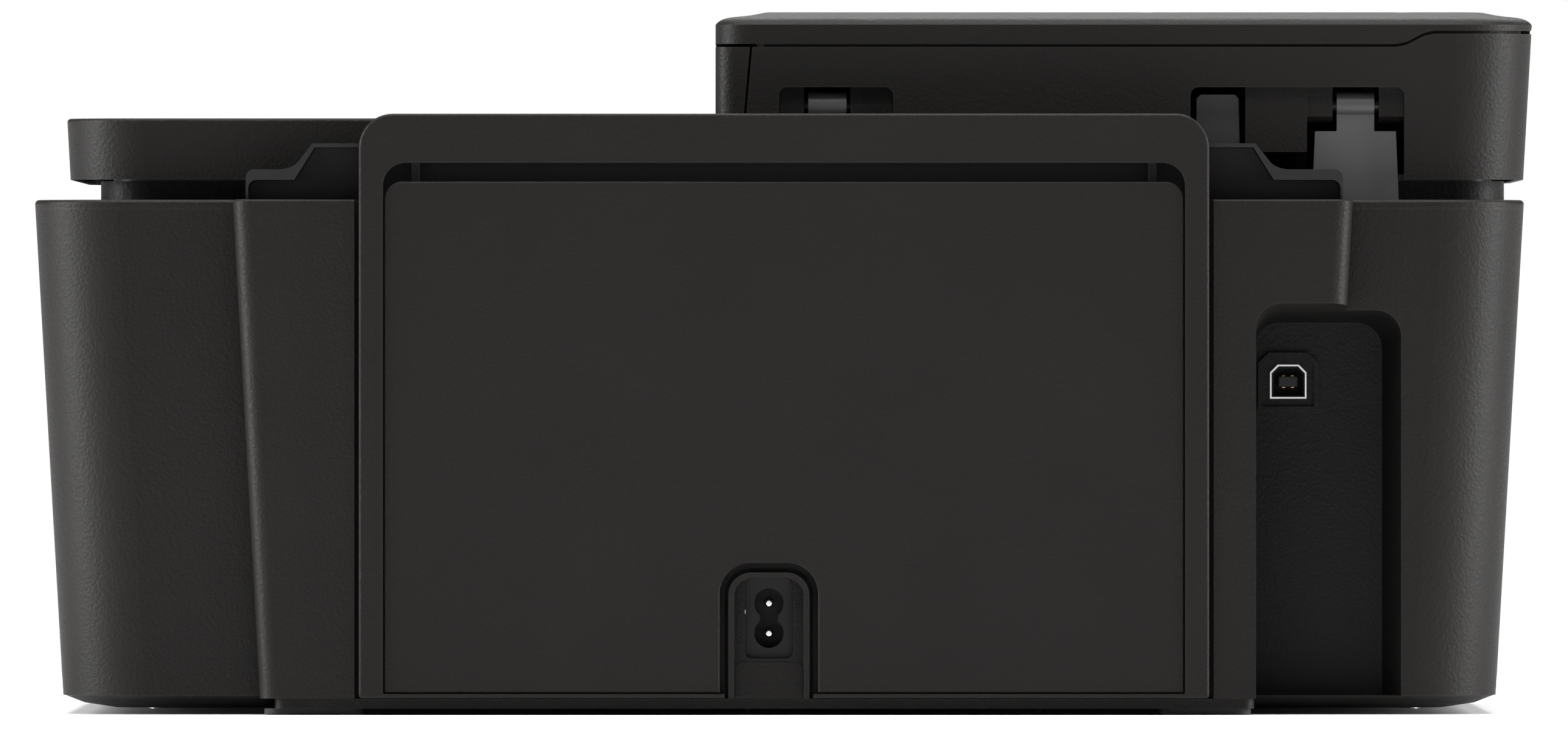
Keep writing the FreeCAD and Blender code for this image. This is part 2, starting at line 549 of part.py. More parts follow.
def make_width_guides():
    """Two paper guides whose racks run on one pinion, so they close on the middle together."""
    y0, y1 = 130.6, 133.4
    z = 100.0
    r = MODULE * GUIDE_TEETH / 2
    pitch = math.pi * MODULE
    step = tooth_angle(GUIDE_TEETH)
    outline = []
    for i in range(GUIDE_TEETH):
        middle = i * step + math.pi / 2
        for radius, half in ((r - 1.05, 0.30), (r + 0.8, 0.09), (r + 0.8, -0.09), (r - 1.05, -0.30)):
            a = middle - half * step
            outline.append((radius * math.cos(a), z + radius * math.sin(a)))
    pinion = cut(prism_y(outline, y0, y1), rod("y", y0 - 1, y1 + 1, 0, z, 2.0 + CLEAR))
    keep("guide_pinion", pinion)
    parts["paper_throat"] = join(parts["paper_throat"], rod("y", 128.0, y1 + 1.2, 0, z, 2.0))
    for side, name in ((-1, "width_guide_left"), (1, "width_guide_right")):
        up = side
        plate = box(*sorted((side * GUIDE_X, side * (GUIDE_X + 2.2))), 130.6, 147.5, 84, 160)
        foot = box(*sorted((side * (GUIDE_X - 14), side * GUIDE_X)), 130.6, 133.4, 84, 116)
        count = 32
        start = -GUIDE_X + 12 if side < 0 else GUIDE_X - 12 - count * pitch
        bar = rack(start, count, z - up * r, up, y0, y1, 0.5 * pitch)
        keep(name, join(plate, foot, bar))


# ---------------------------------------------------------------- output side
def make_output():
    floor_z = EXTENDER_Z + EXTENDER_T + 1.6
    front = CASE_FRONT_Y + 9.5
    tray = box(-MOUTH_HALF_W + 1, MOUTH_HALF_W - 1, front, -40, floor_z, floor_z + 2.4)
    finger = rod("z", floor_z - 5, floor_z + 8, 0, front - 4, 16)
    cheeks = [box(a, b, front, -40, floor_z, floor_z + 8) for a, b in
              ((-MOUTH_HALF_W + 1, -MOUTH_HALF_W + 3.4), (MOUTH_HALF_W - 3.4, MOUTH_HALF_W - 1))]
    rails = [box(a, b, front + 2, -42, EXTENDER_Z - 2.6, floor_z + 1) for a, b in
             ((-EXTENDER_HALF_W - 4, -EXTENDER_HALF_W - 1), (EXTENDER_HALF_W + 1, EXTENDER_HALF_W + 4))]
    ledges = [box(a, b, front + 2, -42, EXTENDER_Z - 2.6, EXTENDER_Z - 0.5) for a, b in
              ((-EXTENDER_HALF_W - 4, -EXTENDER_HALF_W + 5), (EXTENDER_HALF_W - 5, EXTENDER_HALF_W + 4))]
    keep("output_tray", cut(join(tray, *cheeks, *rails, *ledges), finger))
    plate = box(-EXTENDER_HALF_W, EXTENDER_HALF_W, front + 1, -52, EXTENDER_Z, EXTENDER_Z + EXTENDER_T)
    lip = back_block(-EXTENDER_HALF_W, EXTENDER_HALF_W, EXTENDER_Z, EXTENDER_Z + EXTENDER_T, front - 3,
                     front + 1, 0.8)
    stop = box(-30, 30, front - 3, front - 1, EXTENDER_Z + 1, EXTENDER_Z + EXTENDER_T + 7)
    slots = [box(x, x + 3, front + 20, -62, EXTENDER_Z + EXTENDER_T - 0.8, EXTENDER_Z + EXTENDER_T + 1)
             for x in range(-48, 48, 12)]
    keep("output_extender", cut(join(plate, lip, stop), *slots))


def make_door():
    """Cartridge door in the upper half of the mouth, hinged along its lower edge."""
    share = (CASE_TOP_Z - DOOR_BOTTOM_Z) / (CASE_TOP_Z - CASE_BOTTOM_Z)
    lower_y = CASE_FRONT_Y + CASE_TAPER * share
    share = (CASE_TOP_Z - MOUTH_TOP_Z) / (CASE_TOP_Z - CASE_BOTTOM_Z)
    upper_y = CASE_FRONT_Y + CASE_TAPER * share
    gap = 0.8
    half = MOUTH_HALF_W - gap
    outline = [(lower_y + 0.5, DOOR_BOTTOM_Z), (upper_y + 0.5, MOUTH_TOP_Z - gap),
               (upper_y + 3.3, MOUTH_TOP_Z - gap), (lower_y + 3.3, DOOR_BOTTOM_Z)]
    face = back_block(-half, half, DOOR_BOTTOM_Z, MOUTH_TOP_Z - gap, CASE_FRONT_Y - 5, CASE_FRONT_Y + 30,
                      [0, 0, MOUTH_R - gap, MOUTH_R - gap])
    panel = prism_x(outline, -half, half).common(face)
    grip = rod("y", upper_y - 5, upper_y + 1.4, 0, MOUTH_TOP_Z + 6, 14)
    panel = cut(panel, grip)
    hinge_y, hinge_z = lower_y + 3.2, DOOR_BOTTOM_Z + 2.5
    barrel = [rod("x", a, b, hinge_y, hinge_z, 2.4) for a, b in ((-100, -80), (80, 100))]
    bores = [rod("x", a - 1, b + 1, hinge_y, hinge_z, 1.2 + CLEAR) for a, b in ((-100, -80), (80, 100))]
    rooms = [box(a, b, hinge_y - 2.6, hinge_y + 9, hinge_z - 2.6, hinge_z + 2.6) for a, b in ((-104, -100),
                                                                                              (100, 104))]
    keep("cartridge_door", cut(join(panel, *barrel), *bores, *rooms))
    pins = []
    for side in (-1, 1):
        a, b = sorted((side * 78, side * (MOUTH_HALF_W + 1)))
        lug_a, lug_b = sorted((side * 101, side * 103))
        lug = join(box(lug_a, lug_b, hinge_y, hinge_y + 8, hinge_z - 2.2, hinge_z + 2.2),
                   rod("x", lug_a, lug_b, hinge_y, hinge_z, 2.2))
        arm_a, arm_b = sorted((side * 101, side * (MOUTH_HALF_W + 5)))
        post_a, post_b = sorted((side * (MOUTH_HALF_W + 1), side * (MOUTH_HALF_W + 5)))
        bar = join(box(arm_a, arm_b, hinge_y + 5, hinge_y + 8, hinge_z - 2.2, hinge_z + 2.2),
                   box(post_a, post_b, hinge_y - 2, hinge_y + 8, hinge_z - 2.2, hinge_z + 2.2))
        pin_a, pin_b = sorted((side * 79, side * 102))
        pins.append(join(lug, bar, rod("x", pin_a, pin_b, hinge_y, hinge_z, 1.2)))
    parts["outer_case"] = join(parts["outer_case"], *pins)


# ---------------------------------------------------------------- print engine
def make_frame():
    w, t = FRAME_HALF_W, FRAME_T
    back = box(-w, w, FRAME_BACK_Y - t, FRAME_BACK_Y, FRAME_BOTTOM_Z, FRAME_TOP_Z)
    flange = box(-w, w, FRAME_BACK_Y - t, FRAME_BACK_Y + 10, FRAME_TOP_Z - t, FRAME_TOP_Z)
    sides = [box(a, b, FRAME_FRONT_Y, FRAME_BACK_Y, FRAME_BOTTOM_Z, FRAME_TOP_Z) for a, b in
             ((-w, -w + t), (w - t, w))]
    feet = [box(a, b, FRAME_FRONT_Y, FRAME_BACK_Y, FRAME_BOTTOM_Z, FRAME_BOTTOM_Z + t) for a, b in
            ((-w, -w + 15), (w - 15, w))]
    frame = join(back, flange, *sides, *feet)
    holes = [rod("x", -w - 2, w + 2, FEED_Y, FEED_Z, SHAFT_R + CLEAR),
             rod("x", -w - 2, w + 2, OUT_Y, OUT_Z, SHAFT_R + CLEAR),
             rod("x", -w - 2, w + 2, ROD_Y, ROD_Z, ROD_R),
             rod("y", FRAME_BACK_Y - 5, FRAME_BACK_Y + 3, PULLEY_X, BELT_Z, 2.2),
             box(-60, -20, FRAME_BACK_Y - 4, FRAME_BACK_Y + 2, 60, 90),
             box(20, 60, FRAME_BACK_Y - 4, FRAME_BACK_Y + 2, 60, 90),
             box(-w - 2, w + 2, -10, 10, 60, 100)]
    motor_hole = rod("x", -w - 2, -w + 5, *motor_place(), 2.3)
    path_hole = box(-112, 112, FRAME_BACK_Y - 4, FRAME_BACK_Y + 2, FRAME_BOTTOM_Z - 1, 54)
    keep("print_frame", cut(frame, *holes, motor_hole, path_hole))


def gear_distance(a, b):
    return MODULE * (a + b) / 2 + 0.1


def motor_place():
    """Feed motor's shaft, where its pinion meets the feed gear from above."""
    d = gear_distance(FEED_TEETH, PINION_TEETH)
    a = math.radians(70)
    return FEED_Y + d * math.cos(a), FEED_Z + d * math.sin(a)


def idler_place():
    """Idler between the feed gear and the output gear, below the line of their shafts."""
    d1, d2 = gear_distance(FEED_TEETH, IDLER_TEETH), gear_distance(IDLER_TEETH, OUT_TEETH)
    span = FEED_Y - OUT_Y
    along = (span * span + d1 * d1 - d2 * d2) / (2 * span)
    return FEED_Y - along, FEED_Z - math.sqrt(max(d1 * d1 - along * along, 0))


def motor_can(axis, start, end, a, b):
    can = rod(axis, start, end, a, b, 12)
    flats = []
    for side in (-1, 1):
        low, high = sorted((a + side * 9.5, a + side * 20))
        across = (-300, 300, low, high) if axis == "x" else (low, high, -300, 300)
        flats.append(box(*across, -300, 500))
    return cut(can, *flats)


def make_drive():
    w = FRAME_HALF_W
    my, mz = motor_place()
    feed_motor = join(motor_can("x", -w + FRAME_T, -w + FRAME_T + 26, my, mz),
                      rod("x", GEAR_X - 1, -w + 3, my, mz, 1.2))
    carriage_motor = join(motor_can("y", FRAME_BACK_Y, FRAME_BACK_Y + 26, PULLEY_X, BELT_Z),
                          rod("y", BELT_Y0 - 1.5, FRAME_BACK_Y + 1, PULLEY_X, BELT_Z, 1.2))
    keep("drive_motors", feed_motor, carriage_motor)
    x = GEAR_X
    keep("feed_gear", gear(FEED_TEETH, x, GEAR_W, FEED_Y, FEED_Z, 0.0, SHAFT_R))
    iy, iz = idler_place()
    to_motor = math.atan2(mz - FEED_Z, my - FEED_Y)
    to_idler = math.atan2(iz - FEED_Z, iy - FEED_Y)
    pinion_phase = meshing_phase(PINION_TEETH, FEED_TEETH, 0.0, to_motor)
    idler_phase = meshing_phase(IDLER_TEETH, FEED_TEETH, 0.0, to_idler)
    to_out = math.atan2(OUT_Z - iz, OUT_Y - iy)
    out_phase = meshing_phase(OUT_TEETH, IDLER_TEETH, idler_phase, to_out)
    keep("motor_pinion", gear(PINION_TEETH, x, GEAR_W, my, mz, pinion_phase, 1.2 + CLEAR))
    keep("idler_gear", gear(IDLER_TEETH, x, GEAR_W, iy, iz, idler_phase, 2.0 + CLEAR))
    out_gear = gear(OUT_TEETH, x, GEAR_W, OUT_Y, OUT_Z, out_phase, SHAFT_R)
    keep("output_gear", out_gear)
    stud = join(rod("x", x - 1.2, -w + FRAME_T, iy, iz, 2.0), rod("x", x + GEAR_W + 0.4, -w + FRAME_T, iy,
                                                                  iz, 3.4))
    parts["print_frame"] = join(parts["print_frame"], stud)


def make_rollers():
    w = FRAME_HALF_W
    bands = [rod("x", x - 14, x + 14, FEED_Y, FEED_Z, ROLLER_R) for x in (-84, -28, 28, 84)]
    keep("feed_shaft", join(rod("x", GEAR_X - 1, w + 4, FEED_Y, FEED_Z, SHAFT_R), *bands))
    keep("output_shaft", rod("x", GEAR_X - 1, w + 4, OUT_Y, OUT_Z, SHAFT_R))
    wheels = [cut(rod("x", x - 5, x + 5, OUT_Y, OUT_Z, 5.0), rod("x", x - 6, x + 6, OUT_Y, OUT_Z, SHAFT_R))
              for x in (-98, -70, -42, -14, 14, 42, 70, 98)]
    keep("output_tyres", *wheels)
    pinch_z = FEED_Z + ROLLER_R + 3.3
    axle = rod("x", -100, 100, FEED_Y, pinch_z, 1.0)
    rollers = [rod("x", x - 10, x + 10, FEED_Y, pinch_z, 2.9) for x in (-84, -28, 28, 84)]
    keep("pinch_rollers", join(axle, *rollers))
    pick_y, pick_z = 120.5, 72.0
    hub = join(rod("x", -19, 19, pick_y, pick_z, 9.0), rod("x", -30, 30, pick_y, pick_z, 2.5))
    keep("pick_roller", hub)
    lugs = [box(a, b, pick_y - 5, 128, pick_z - 5, pick_z + 5) for a, b in ((-28, -24), (24, 28))]
    lugs = [cut(lug, rod("x", -50, 50, pick_y, pick_z, 2.5 + CLEAR)) for lug in lugs]
    parts["paper_throat"] = join(parts["paper_throat"], *lugs)
    plate = box(-FRAME_HALF_W + FRAME_T, CARRIAGE_HOME_X - 32, OUT_Y + 8, FEED_Y - 8, OUT_Z - 14, OUT_Z + 2)
    ribs = [box(x, x + 1.6, OUT_Y + 8, FEED_Y - 8, OUT_Z + 1, OUT_Z + 5) for x in range(-105, 110, 14)]
    keep("platen", join(plate, *ribs))


def make_carriage_line():
    w = FRAME_HALF_W
    keep("guide_rods", rod("x", -w - 2, w + 2, ROD_Y, ROD_Z, ROD_R))
    outer = join(box(-PULLEY_X, PULLEY_X, BELT_Y0, BELT_Y1, BELT_Z - PULLEY_R - 1.6,
                     BELT_Z + PULLEY_R + 1.6),
                 *[rod("y", BELT_Y0, BELT_Y1, s * PULLEY_X, BELT_Z, PULLEY_R + 1.6) for s in (-1, 1)])
    inner = join(box(-PULLEY_X, PULLEY_X, BELT_Y0 - 1, BELT_Y1 + 1, BELT_Z - PULLEY_R - 0.4,
                     BELT_Z + PULLEY_R + 0.4),
                 *[rod("y", BELT_Y0 - 1, BELT_Y1 + 1, s * PULLEY_X, BELT_Z, PULLEY_R + 0.4) for s in (-1,
                                                                                                      1)])
    keep("timing_belt", cut(outer, inner))
    for name, x, bore in (("motor_pulley", PULLEY_X, 1.2), ("belt_idler", -PULLEY_X, 2.0)):
        solid = rod("y", BELT_Y0 - 0.4, BELT_Y1 + 0.4, x, BELT_Z, PULLEY_R)
        notches = []
        for i in range(18):
            a = 2 * math.pi * i / 18
            notches.append(rod("y", BELT_Y0 - 1, BELT_Y1 + 1, x + (PULLEY_R + 0.2) * math.cos(a),
                               BELT_Z + (PULLEY_R + 0.2) * math.sin(a), 0.55))
        keep(name, cut(solid, *notches, rod("y", BELT_Y0 - 2, BELT_Y1 + 2, x, BELT_Z, bore + CLEAR)))
    stud = rod("y", BELT_Y0 - 1.4, FRAME_BACK_Y - 0.5, -PULLEY_X, BELT_Z, 2.0)
    parts["print_frame"] = join(parts["print_frame"], stud)


def make_carriage():
    x0, x1 = CARRIAGE_HOME_X - CARRIAGE_W / 2, CARRIAGE_HOME_X + CARRIAGE_W / 2
    y0, y1, z0, z1 = -28.0, 32.0, 62.0, 96.0
    basket = box(x0, x1, y0, y1, z0, z1)
    bays = []
    for i in (0, 1):
        a = x0 + 3 + i * (CART_W + 6)
        bays.append(box(a - 0.4, a + CART_W + 0.4, y0 - 1, y1 - 6, z0 + 3, z1 + 1))
        bays.append(box(a + 5, a + CART_W - 5, y0 + 12, y1 - 14, z0 - 1, z0 + 4))
    sleeve = box(x0 + 4, x1 - 4, ROD_Y - 7, ROD_Y + 6, ROD_Z - 9, ROD_Z + 7)
    clamp = box(CARRIAGE_HOME_X - 10, CARRIAGE_HOME_X + 10, ROD_Y + 4, BELT_Y1 + 1.4, BELT_Z + 4.5,
                BELT_Z + 12)
    belt_slot = box(x0, x1, BELT_Y0 - 0.5, BELT_Y1 + 0.5, BELT_Z + PULLEY_R - 0.1, BELT_Z + PULLEY_R + 2.1)
    body = cut(join(basket, sleeve, clamp), *bays, belt_slot,
               rod("x", x0 - 1, x1 + 1, ROD_Y, ROD_Z, ROD_R + CLEAR))
    keep("carriage", body)
    tanks = []
    for i, name in enumerate(("black", "colour")):
        a = x0 + 3 + i * (CART_W + 6)
        tank = box(a, a + CART_W, y0 + 1, y1 - 7, z0 + 3.4, z1 + 3)
        snout = box(a + 6, a + CART_W - 6, y0 + 13, y1 - 15, z0 - 2.5, z0 + 4)
        tab = box(a + 9, a + CART_W - 9, y0 - 5, y0 + 2, z1 - 6, z1 - 4)
        tanks.append(join(tank, snout, tab))
        hinge_y, hinge_z = y1 - 12.0, z1 + 5.5
        lugs = [box(b, b + 1.4, hinge_y - 2, hinge_y + 2, z1 - 1, hinge_z + 2) for b in (a - 1.9,
                                                                                         a + CART_W + 0.5)]
        pin = rod("x", a - 1.6, a + CART_W + 1.6, hinge_y, hinge_z, 1.0)
        parts["carriage"] = join(parts["carriage"], *lugs, pin)
        leaf = box(a + 1, a + CART_W - 1, y0 + 2, hinge_y, hinge_z - 1.2, hinge_z + 1.2)
        barrel = rod("x", a + 1, a + CART_W - 1, hinge_y, hinge_z, 2.0)
        keep(f"latch_{name}", cut(join(leaf, barrel), rod("x", a, a + CART_W, hinge_y, hinge_z,
                                                          1.0 + CLEAR)))
    keep("cartridges", *tanks)


def make_service():
    """Capping station under the carriage's parking place, carried by the frame's right side."""
    x0, x1 = CARRIAGE_HOME_X - 31, FRAME_HALF_W - FRAME_T
    tray = cut(box(x0, x1, -18, 10, 34, 52), box(x0 + 2, x1 - 2, -16, 8, 36, 53))
    caps = []
    for side in (-16, 16):
        x = CARRIAGE_HOME_X + side
        cap = cut(box(x - 9, x + 9, -15, 5, 35, 57), box(x - 7, x + 7, -13, 3, 50, 58))
        caps.append(cap)
    keep("service_station", join(tray, *caps))


# ---------------------------------------------------------------- scanner
def neck_block(inset, z0, z1):
    return plan_block(NECK_LEFT_X + inset, NECK_RIGHT_X - inset, NECK_FRONT_Y + inset, NECK_BACK_Y - inset,
                      z0, z1, NECK_R - inset)


def make_scanner():
    z0 = CASE_TOP_Z + 0.2
    outer_low = plan_block(NECK_LEFT_X + 16, NECK_RIGHT_X - 13, NECK_FRONT_Y + 11, NECK_BACK_Y - 2,
                           TUB_FLOOR_Z,
                           z0 + 1, 7)
    flange = neck_block(0, z0, NECK_TOP_Z)
    hollow = plan_block(NECK_LEFT_X + 18.2, NECK_RIGHT_X - 15.2, NECK_FRONT_Y + 13.2, NECK_BACK_Y - 4.2,
                        TUB_FLOOR_Z + 2.2, NECK_TOP_Z + 1, 5)
    seat = plan_block(NECK_LEFT_X + 3, NECK_RIGHT_X - 3, NECK_FRONT_Y + 3, NECK_BACK_Y - 3, NECK_TOP_Z - 2.4,
                      NECK_TOP_Z + 1, 11)
    console_room = plan_block(-230, CONSOLE_X1 + 0.3, -230, CONSOLE_Y1 + 0.3, z0 - 0.1, NECK_TOP_Z + 5, 0)
    tub = cut(join(outer_low, flange), hollow, seat, console_room)
    rail_y = -4.0
    ends = [box(a, b, rail_y - 6, rail_y + 6, TUB_FLOOR_Z + 2, TUB_FLOOR_Z + 13) for a, b in
            ((NECK_LEFT_X + 18, NECK_LEFT_X + 21), (NECK_RIGHT_X - 18, NECK_RIGHT_X - 15))]
    rail = rod("x", NECK_LEFT_X + 18.5, NECK_RIGHT_X - 15.5, rail_y, TUB_FLOOR_Z + 8, 3.0)
    tub = cut(join(tub, *ends), rail)
    keep("scanner_tub", tub)
    keep("guide_rods", *parts["guide_rods"].Solids, rail)
    bezel = plan_block(NECK_LEFT_X + 3.2, NECK_RIGHT_X - 3.2, NECK_FRONT_Y + 3.2, NECK_BACK_Y - 3.2,
                       NECK_TOP_Z - 2.3, NECK_TOP_Z, 10.8)
    seal = cut(neck_block(3.6, NECK_TOP_Z - 0.2, NECK_TOP_Z + SEAL_H), neck_block(5.2, 0, 200),
               console_gap(LID_WALL + 2 * PLAY, 0, 200))
    window = plan_block(GLASS_X0 + 4, GLASS_X1 - 4, GLASS_Y0 + 4, GLASS_Y1 - 4, NECK_TOP_Z - 10,
                        NECK_TOP_Z + 1, 2)
    ledge = plan_block(GLASS_X0, GLASS_X1, GLASS_Y0, GLASS_Y1, NECK_TOP_Z - 2.0, NECK_TOP_Z + 1, 2)
    lip = plan_block(GLASS_X0 - 2, GLASS_X1 + 2, GLASS_Y0 - 2, GLASS_Y1 + 2, NECK_TOP_Z - 5.4,
                     NECK_TOP_Z - 2.2, 3)
    glass_room = plan_block(GLASS_X0, GLASS_X1, GLASS_Y0, GLASS_Y1, NECK_TOP_Z - 0.2 - GLASS_T,
                            NECK_TOP_Z + 1, 2)
    lip_clip = plan_block(NECK_LEFT_X + 18.4, NECK_RIGHT_X - 15.4, NECK_FRONT_Y + 13.4, NECK_BACK_Y - 4.4,
                          NECK_TOP_Z - 8, NECK_TOP_Z + 1, 5)
    console_notch = plan_block(-230, CONSOLE_X1 + 0.5, -230, CONSOLE_Y1 + 0.5, NECK_TOP_Z - 8, NECK_TOP_Z + 5,
                             0)
    keep("scanner_bezel", cut(join(bezel, seal, lip.common(lip_clip)), window, glass_room, console_notch))
    keep("scanner_glass", plan_block(GLASS_X0 + 0.2, GLASS_X1 - 0.2, GLASS_Y0 + 0.2, GLASS_Y1 - 0.2,
                                     NECK_TOP_Z - 0.2 - GLASS_T, NECK_TOP_Z - 0.2, 2))
    head_x0 = NECK_LEFT_X + 23
    head = box(head_x0, head_x0 + 20, GLASS_Y0 + 2, GLASS_Y1 - 4, TUB_FLOOR_Z + 14, NECK_TOP_Z - 8)
    shoe = box(head_x0 + 2, head_x0 + 18, rail_y - 8, rail_y + 8, TUB_FLOOR_Z + 3, TUB_FLOOR_Z + 15)
    lens = box(head_x0 + 8, head_x0 + 12, GLASS_Y0 + 5, GLASS_Y1 - 7, NECK_TOP_Z - 8.5, NECK_TOP_Z - 7.4)
    rail_bore = rod("x", head_x0 - 1, head_x0 + 30, rail_y, TUB_FLOOR_Z + 8, 3.0 + CLEAR)
    keep("scan_head", cut(join(head, shoe, lens), rail_bore))


BUTTONS = ("copy", "cancel", "power")


def make_console():
    x0, x1 = -211.0, CONSOLE_X1 - 0.3
    y0, y1 = -157.0, CONSOLE_Y1 - 0.3
    z0 = CASE_TOP_Z + 0.2
    foot_x, foot_y = x0 + CONSOLE_FOOT_IN, y0 + CONSOLE_FOOT_IN
    block = soften(plan_block(x0, x1, y0, y1, CONSOLE_STEP_Z, CONSOLE_TOP_Z, [18, 3, 3, 3]), 1.5,
                   at_height(CONSOLE_TOP_Z))
    block = join(block, plan_block(foot_x, x1, foot_y, y1, z0, CONSOLE_STEP_Z, [14, 3, 3, 3]))
    wall = 2.2
    hollow = join(plan_block(x0 + wall, x1 - wall, y0 + wall, y1 - wall, CONSOLE_STEP_Z + wall,
                             CONSOLE_TOP_Z - wall, [16, 2, 2, 2]),
                  plan_block(foot_x + wall, x1 - wall, foot_y + wall, y1 - wall, z0 - 1,
                             CONSOLE_STEP_Z + wall + 1, [12, 2, 2, 2]))
    mid_x = (x0 + x1) / 2
    tools = [hollow]
    display = plan_block(mid_x - 11, mid_x + 11, y1 - 34, y1 - 8, CONSOLE_TOP_Z - 1.0, CONSOLE_TOP_Z + 1, 2)
    tools.append(display)
    for i, name in enumerate(BUTTONS):
        y = y1 - 45 - i * 15.0
        tools.append(rod("z", CONSOLE_TOP_Z - 5, CONSOLE_TOP_Z + 1, mid_x, y, 4.3))
        cap = rod("z", CONSOLE_TOP_Z - 2.0, CONSOLE_TOP_Z + 0.9, mid_x, y, 4.0)
        cap = soften(cap, 0.5, at_height(CONSOLE_TOP_Z + 0.9))
        stem = rod("z", CONSOLE_TOP_Z - 4.5, CONSOLE_TOP_Z - 1.5, mid_x, y, 1.5)
        keep(f"button_{name}", join(cap, stem))
    keep("control_panel", cut(block, *tools))
    keep("display_window", plan_block(mid_x - 10.8, mid_x + 10.8, y1 - 33.8, y1 - 8.2, CONSOLE_TOP_Z - 1.0,
                                      CONSOLE_TOP_Z - 0.1, 1.8))


# ---------------------------------------------------------------- lid and feeder
def lid_row(z, inset, right, right_r):
    """Plan outline of the lid at height z; its walls lean out evenly with height."""
    rise = z - LID_TOP_Z
    r = LID_CORNER_R - inset
    rr = max(right_r - inset, 1.0)
    return plan_wire(LID_LEFT_X - LID_LEAN * rise + inset, right - inset,
                     LID_FRONT_Y - LID_LEAN * rise + inset,
                     LID_BACK_Y + LID_BACK_LEAN * rise - inset, z, [r, rr, rr, r])


def low_lid(inset, z0, z1):
    lean = LID_LEAN * (LID_TOP_Z - LID_BOTTOM_Z)
    return stack(lid_row(z0, inset, LID_RIGHT_X - lean, LID_CORNER_R), lid_row(z1, inset, LID_RIGHT_X,
                                                                               LID_CORNER_R))


def feeder(inset, z0, z1, right_x, right_r=6.0):
    return stack(lid_row(z0, inset, right_x, right_r), lid_row(z1, inset, right_x, right_r))


def console_gap(grow, z0, z1):
    return plan_block(-240, CONSOLE_X1 + 0.4 + grow, -240, CONSOLE_Y1 + 0.4 + grow, z0, z1, [0, 0, 3, 0])


def end_side(gap):
    """Everything beyond the slanted seam between the feeder and its end cover."""
    outline = [(8.6 + gap, FEEDER_TOP_Z + 5), (10.8 + gap, LID_TOP_Z + 1.2), (13.0 + gap, LID_TOP_Z - 0.6),
               (60, LID_TOP_Z - 0.6), (60, FEEDER_TOP_Z + 5)]
    return prism_y(outline, -240, 240)


def seam_ramp(z_shift):
    """Everything above the seam between feeder and cover, which steps up near the tray hinge."""
    low, high = FEEDER_TOP_Z + z_shift, FEEDER_HIGH_Z + z_shift
    return prism_y([(-260, high), (-186, high), (-183, high - 0.6), (-178, low + 0.6), (-175, low), (60,
                                                                                                     low),
                    (60, 260), (-260, 260)], -240, 240)


def pocket_spaces():
    """Openings in the lid's back wall for the hinge arms."""
    right = back_block(-31.2, 1.4, 140, 178.9, PIVOT_Y - 8, LID_BACK_Y + 5, [0, 0, 2.4, 2.4])
    left = back_block(-177.3, -116.2, 140, 178.9, PIVOT_Y - 8, LID_BACK_Y + 5, [0, 0, 2.4, 2.4])
    return right, left


def knuckle(x0, x1, top_z):
    block = box(x0, x1, PIVOT_Y - 5, LID_BACK_Y - 2.0, PIVOT_Z, top_z)
    round_end = rod("x", x0, x1, PIVOT_Y, PIVOT_Z, 4.8)
    lower = round_end.common(box(x0 - 1, x1 + 1, PIVOT_Y - 5, LID_BACK_Y - 1.8, PIVOT_Z - 6, PIVOT_Z + 0.1))
    return join(block, lower)


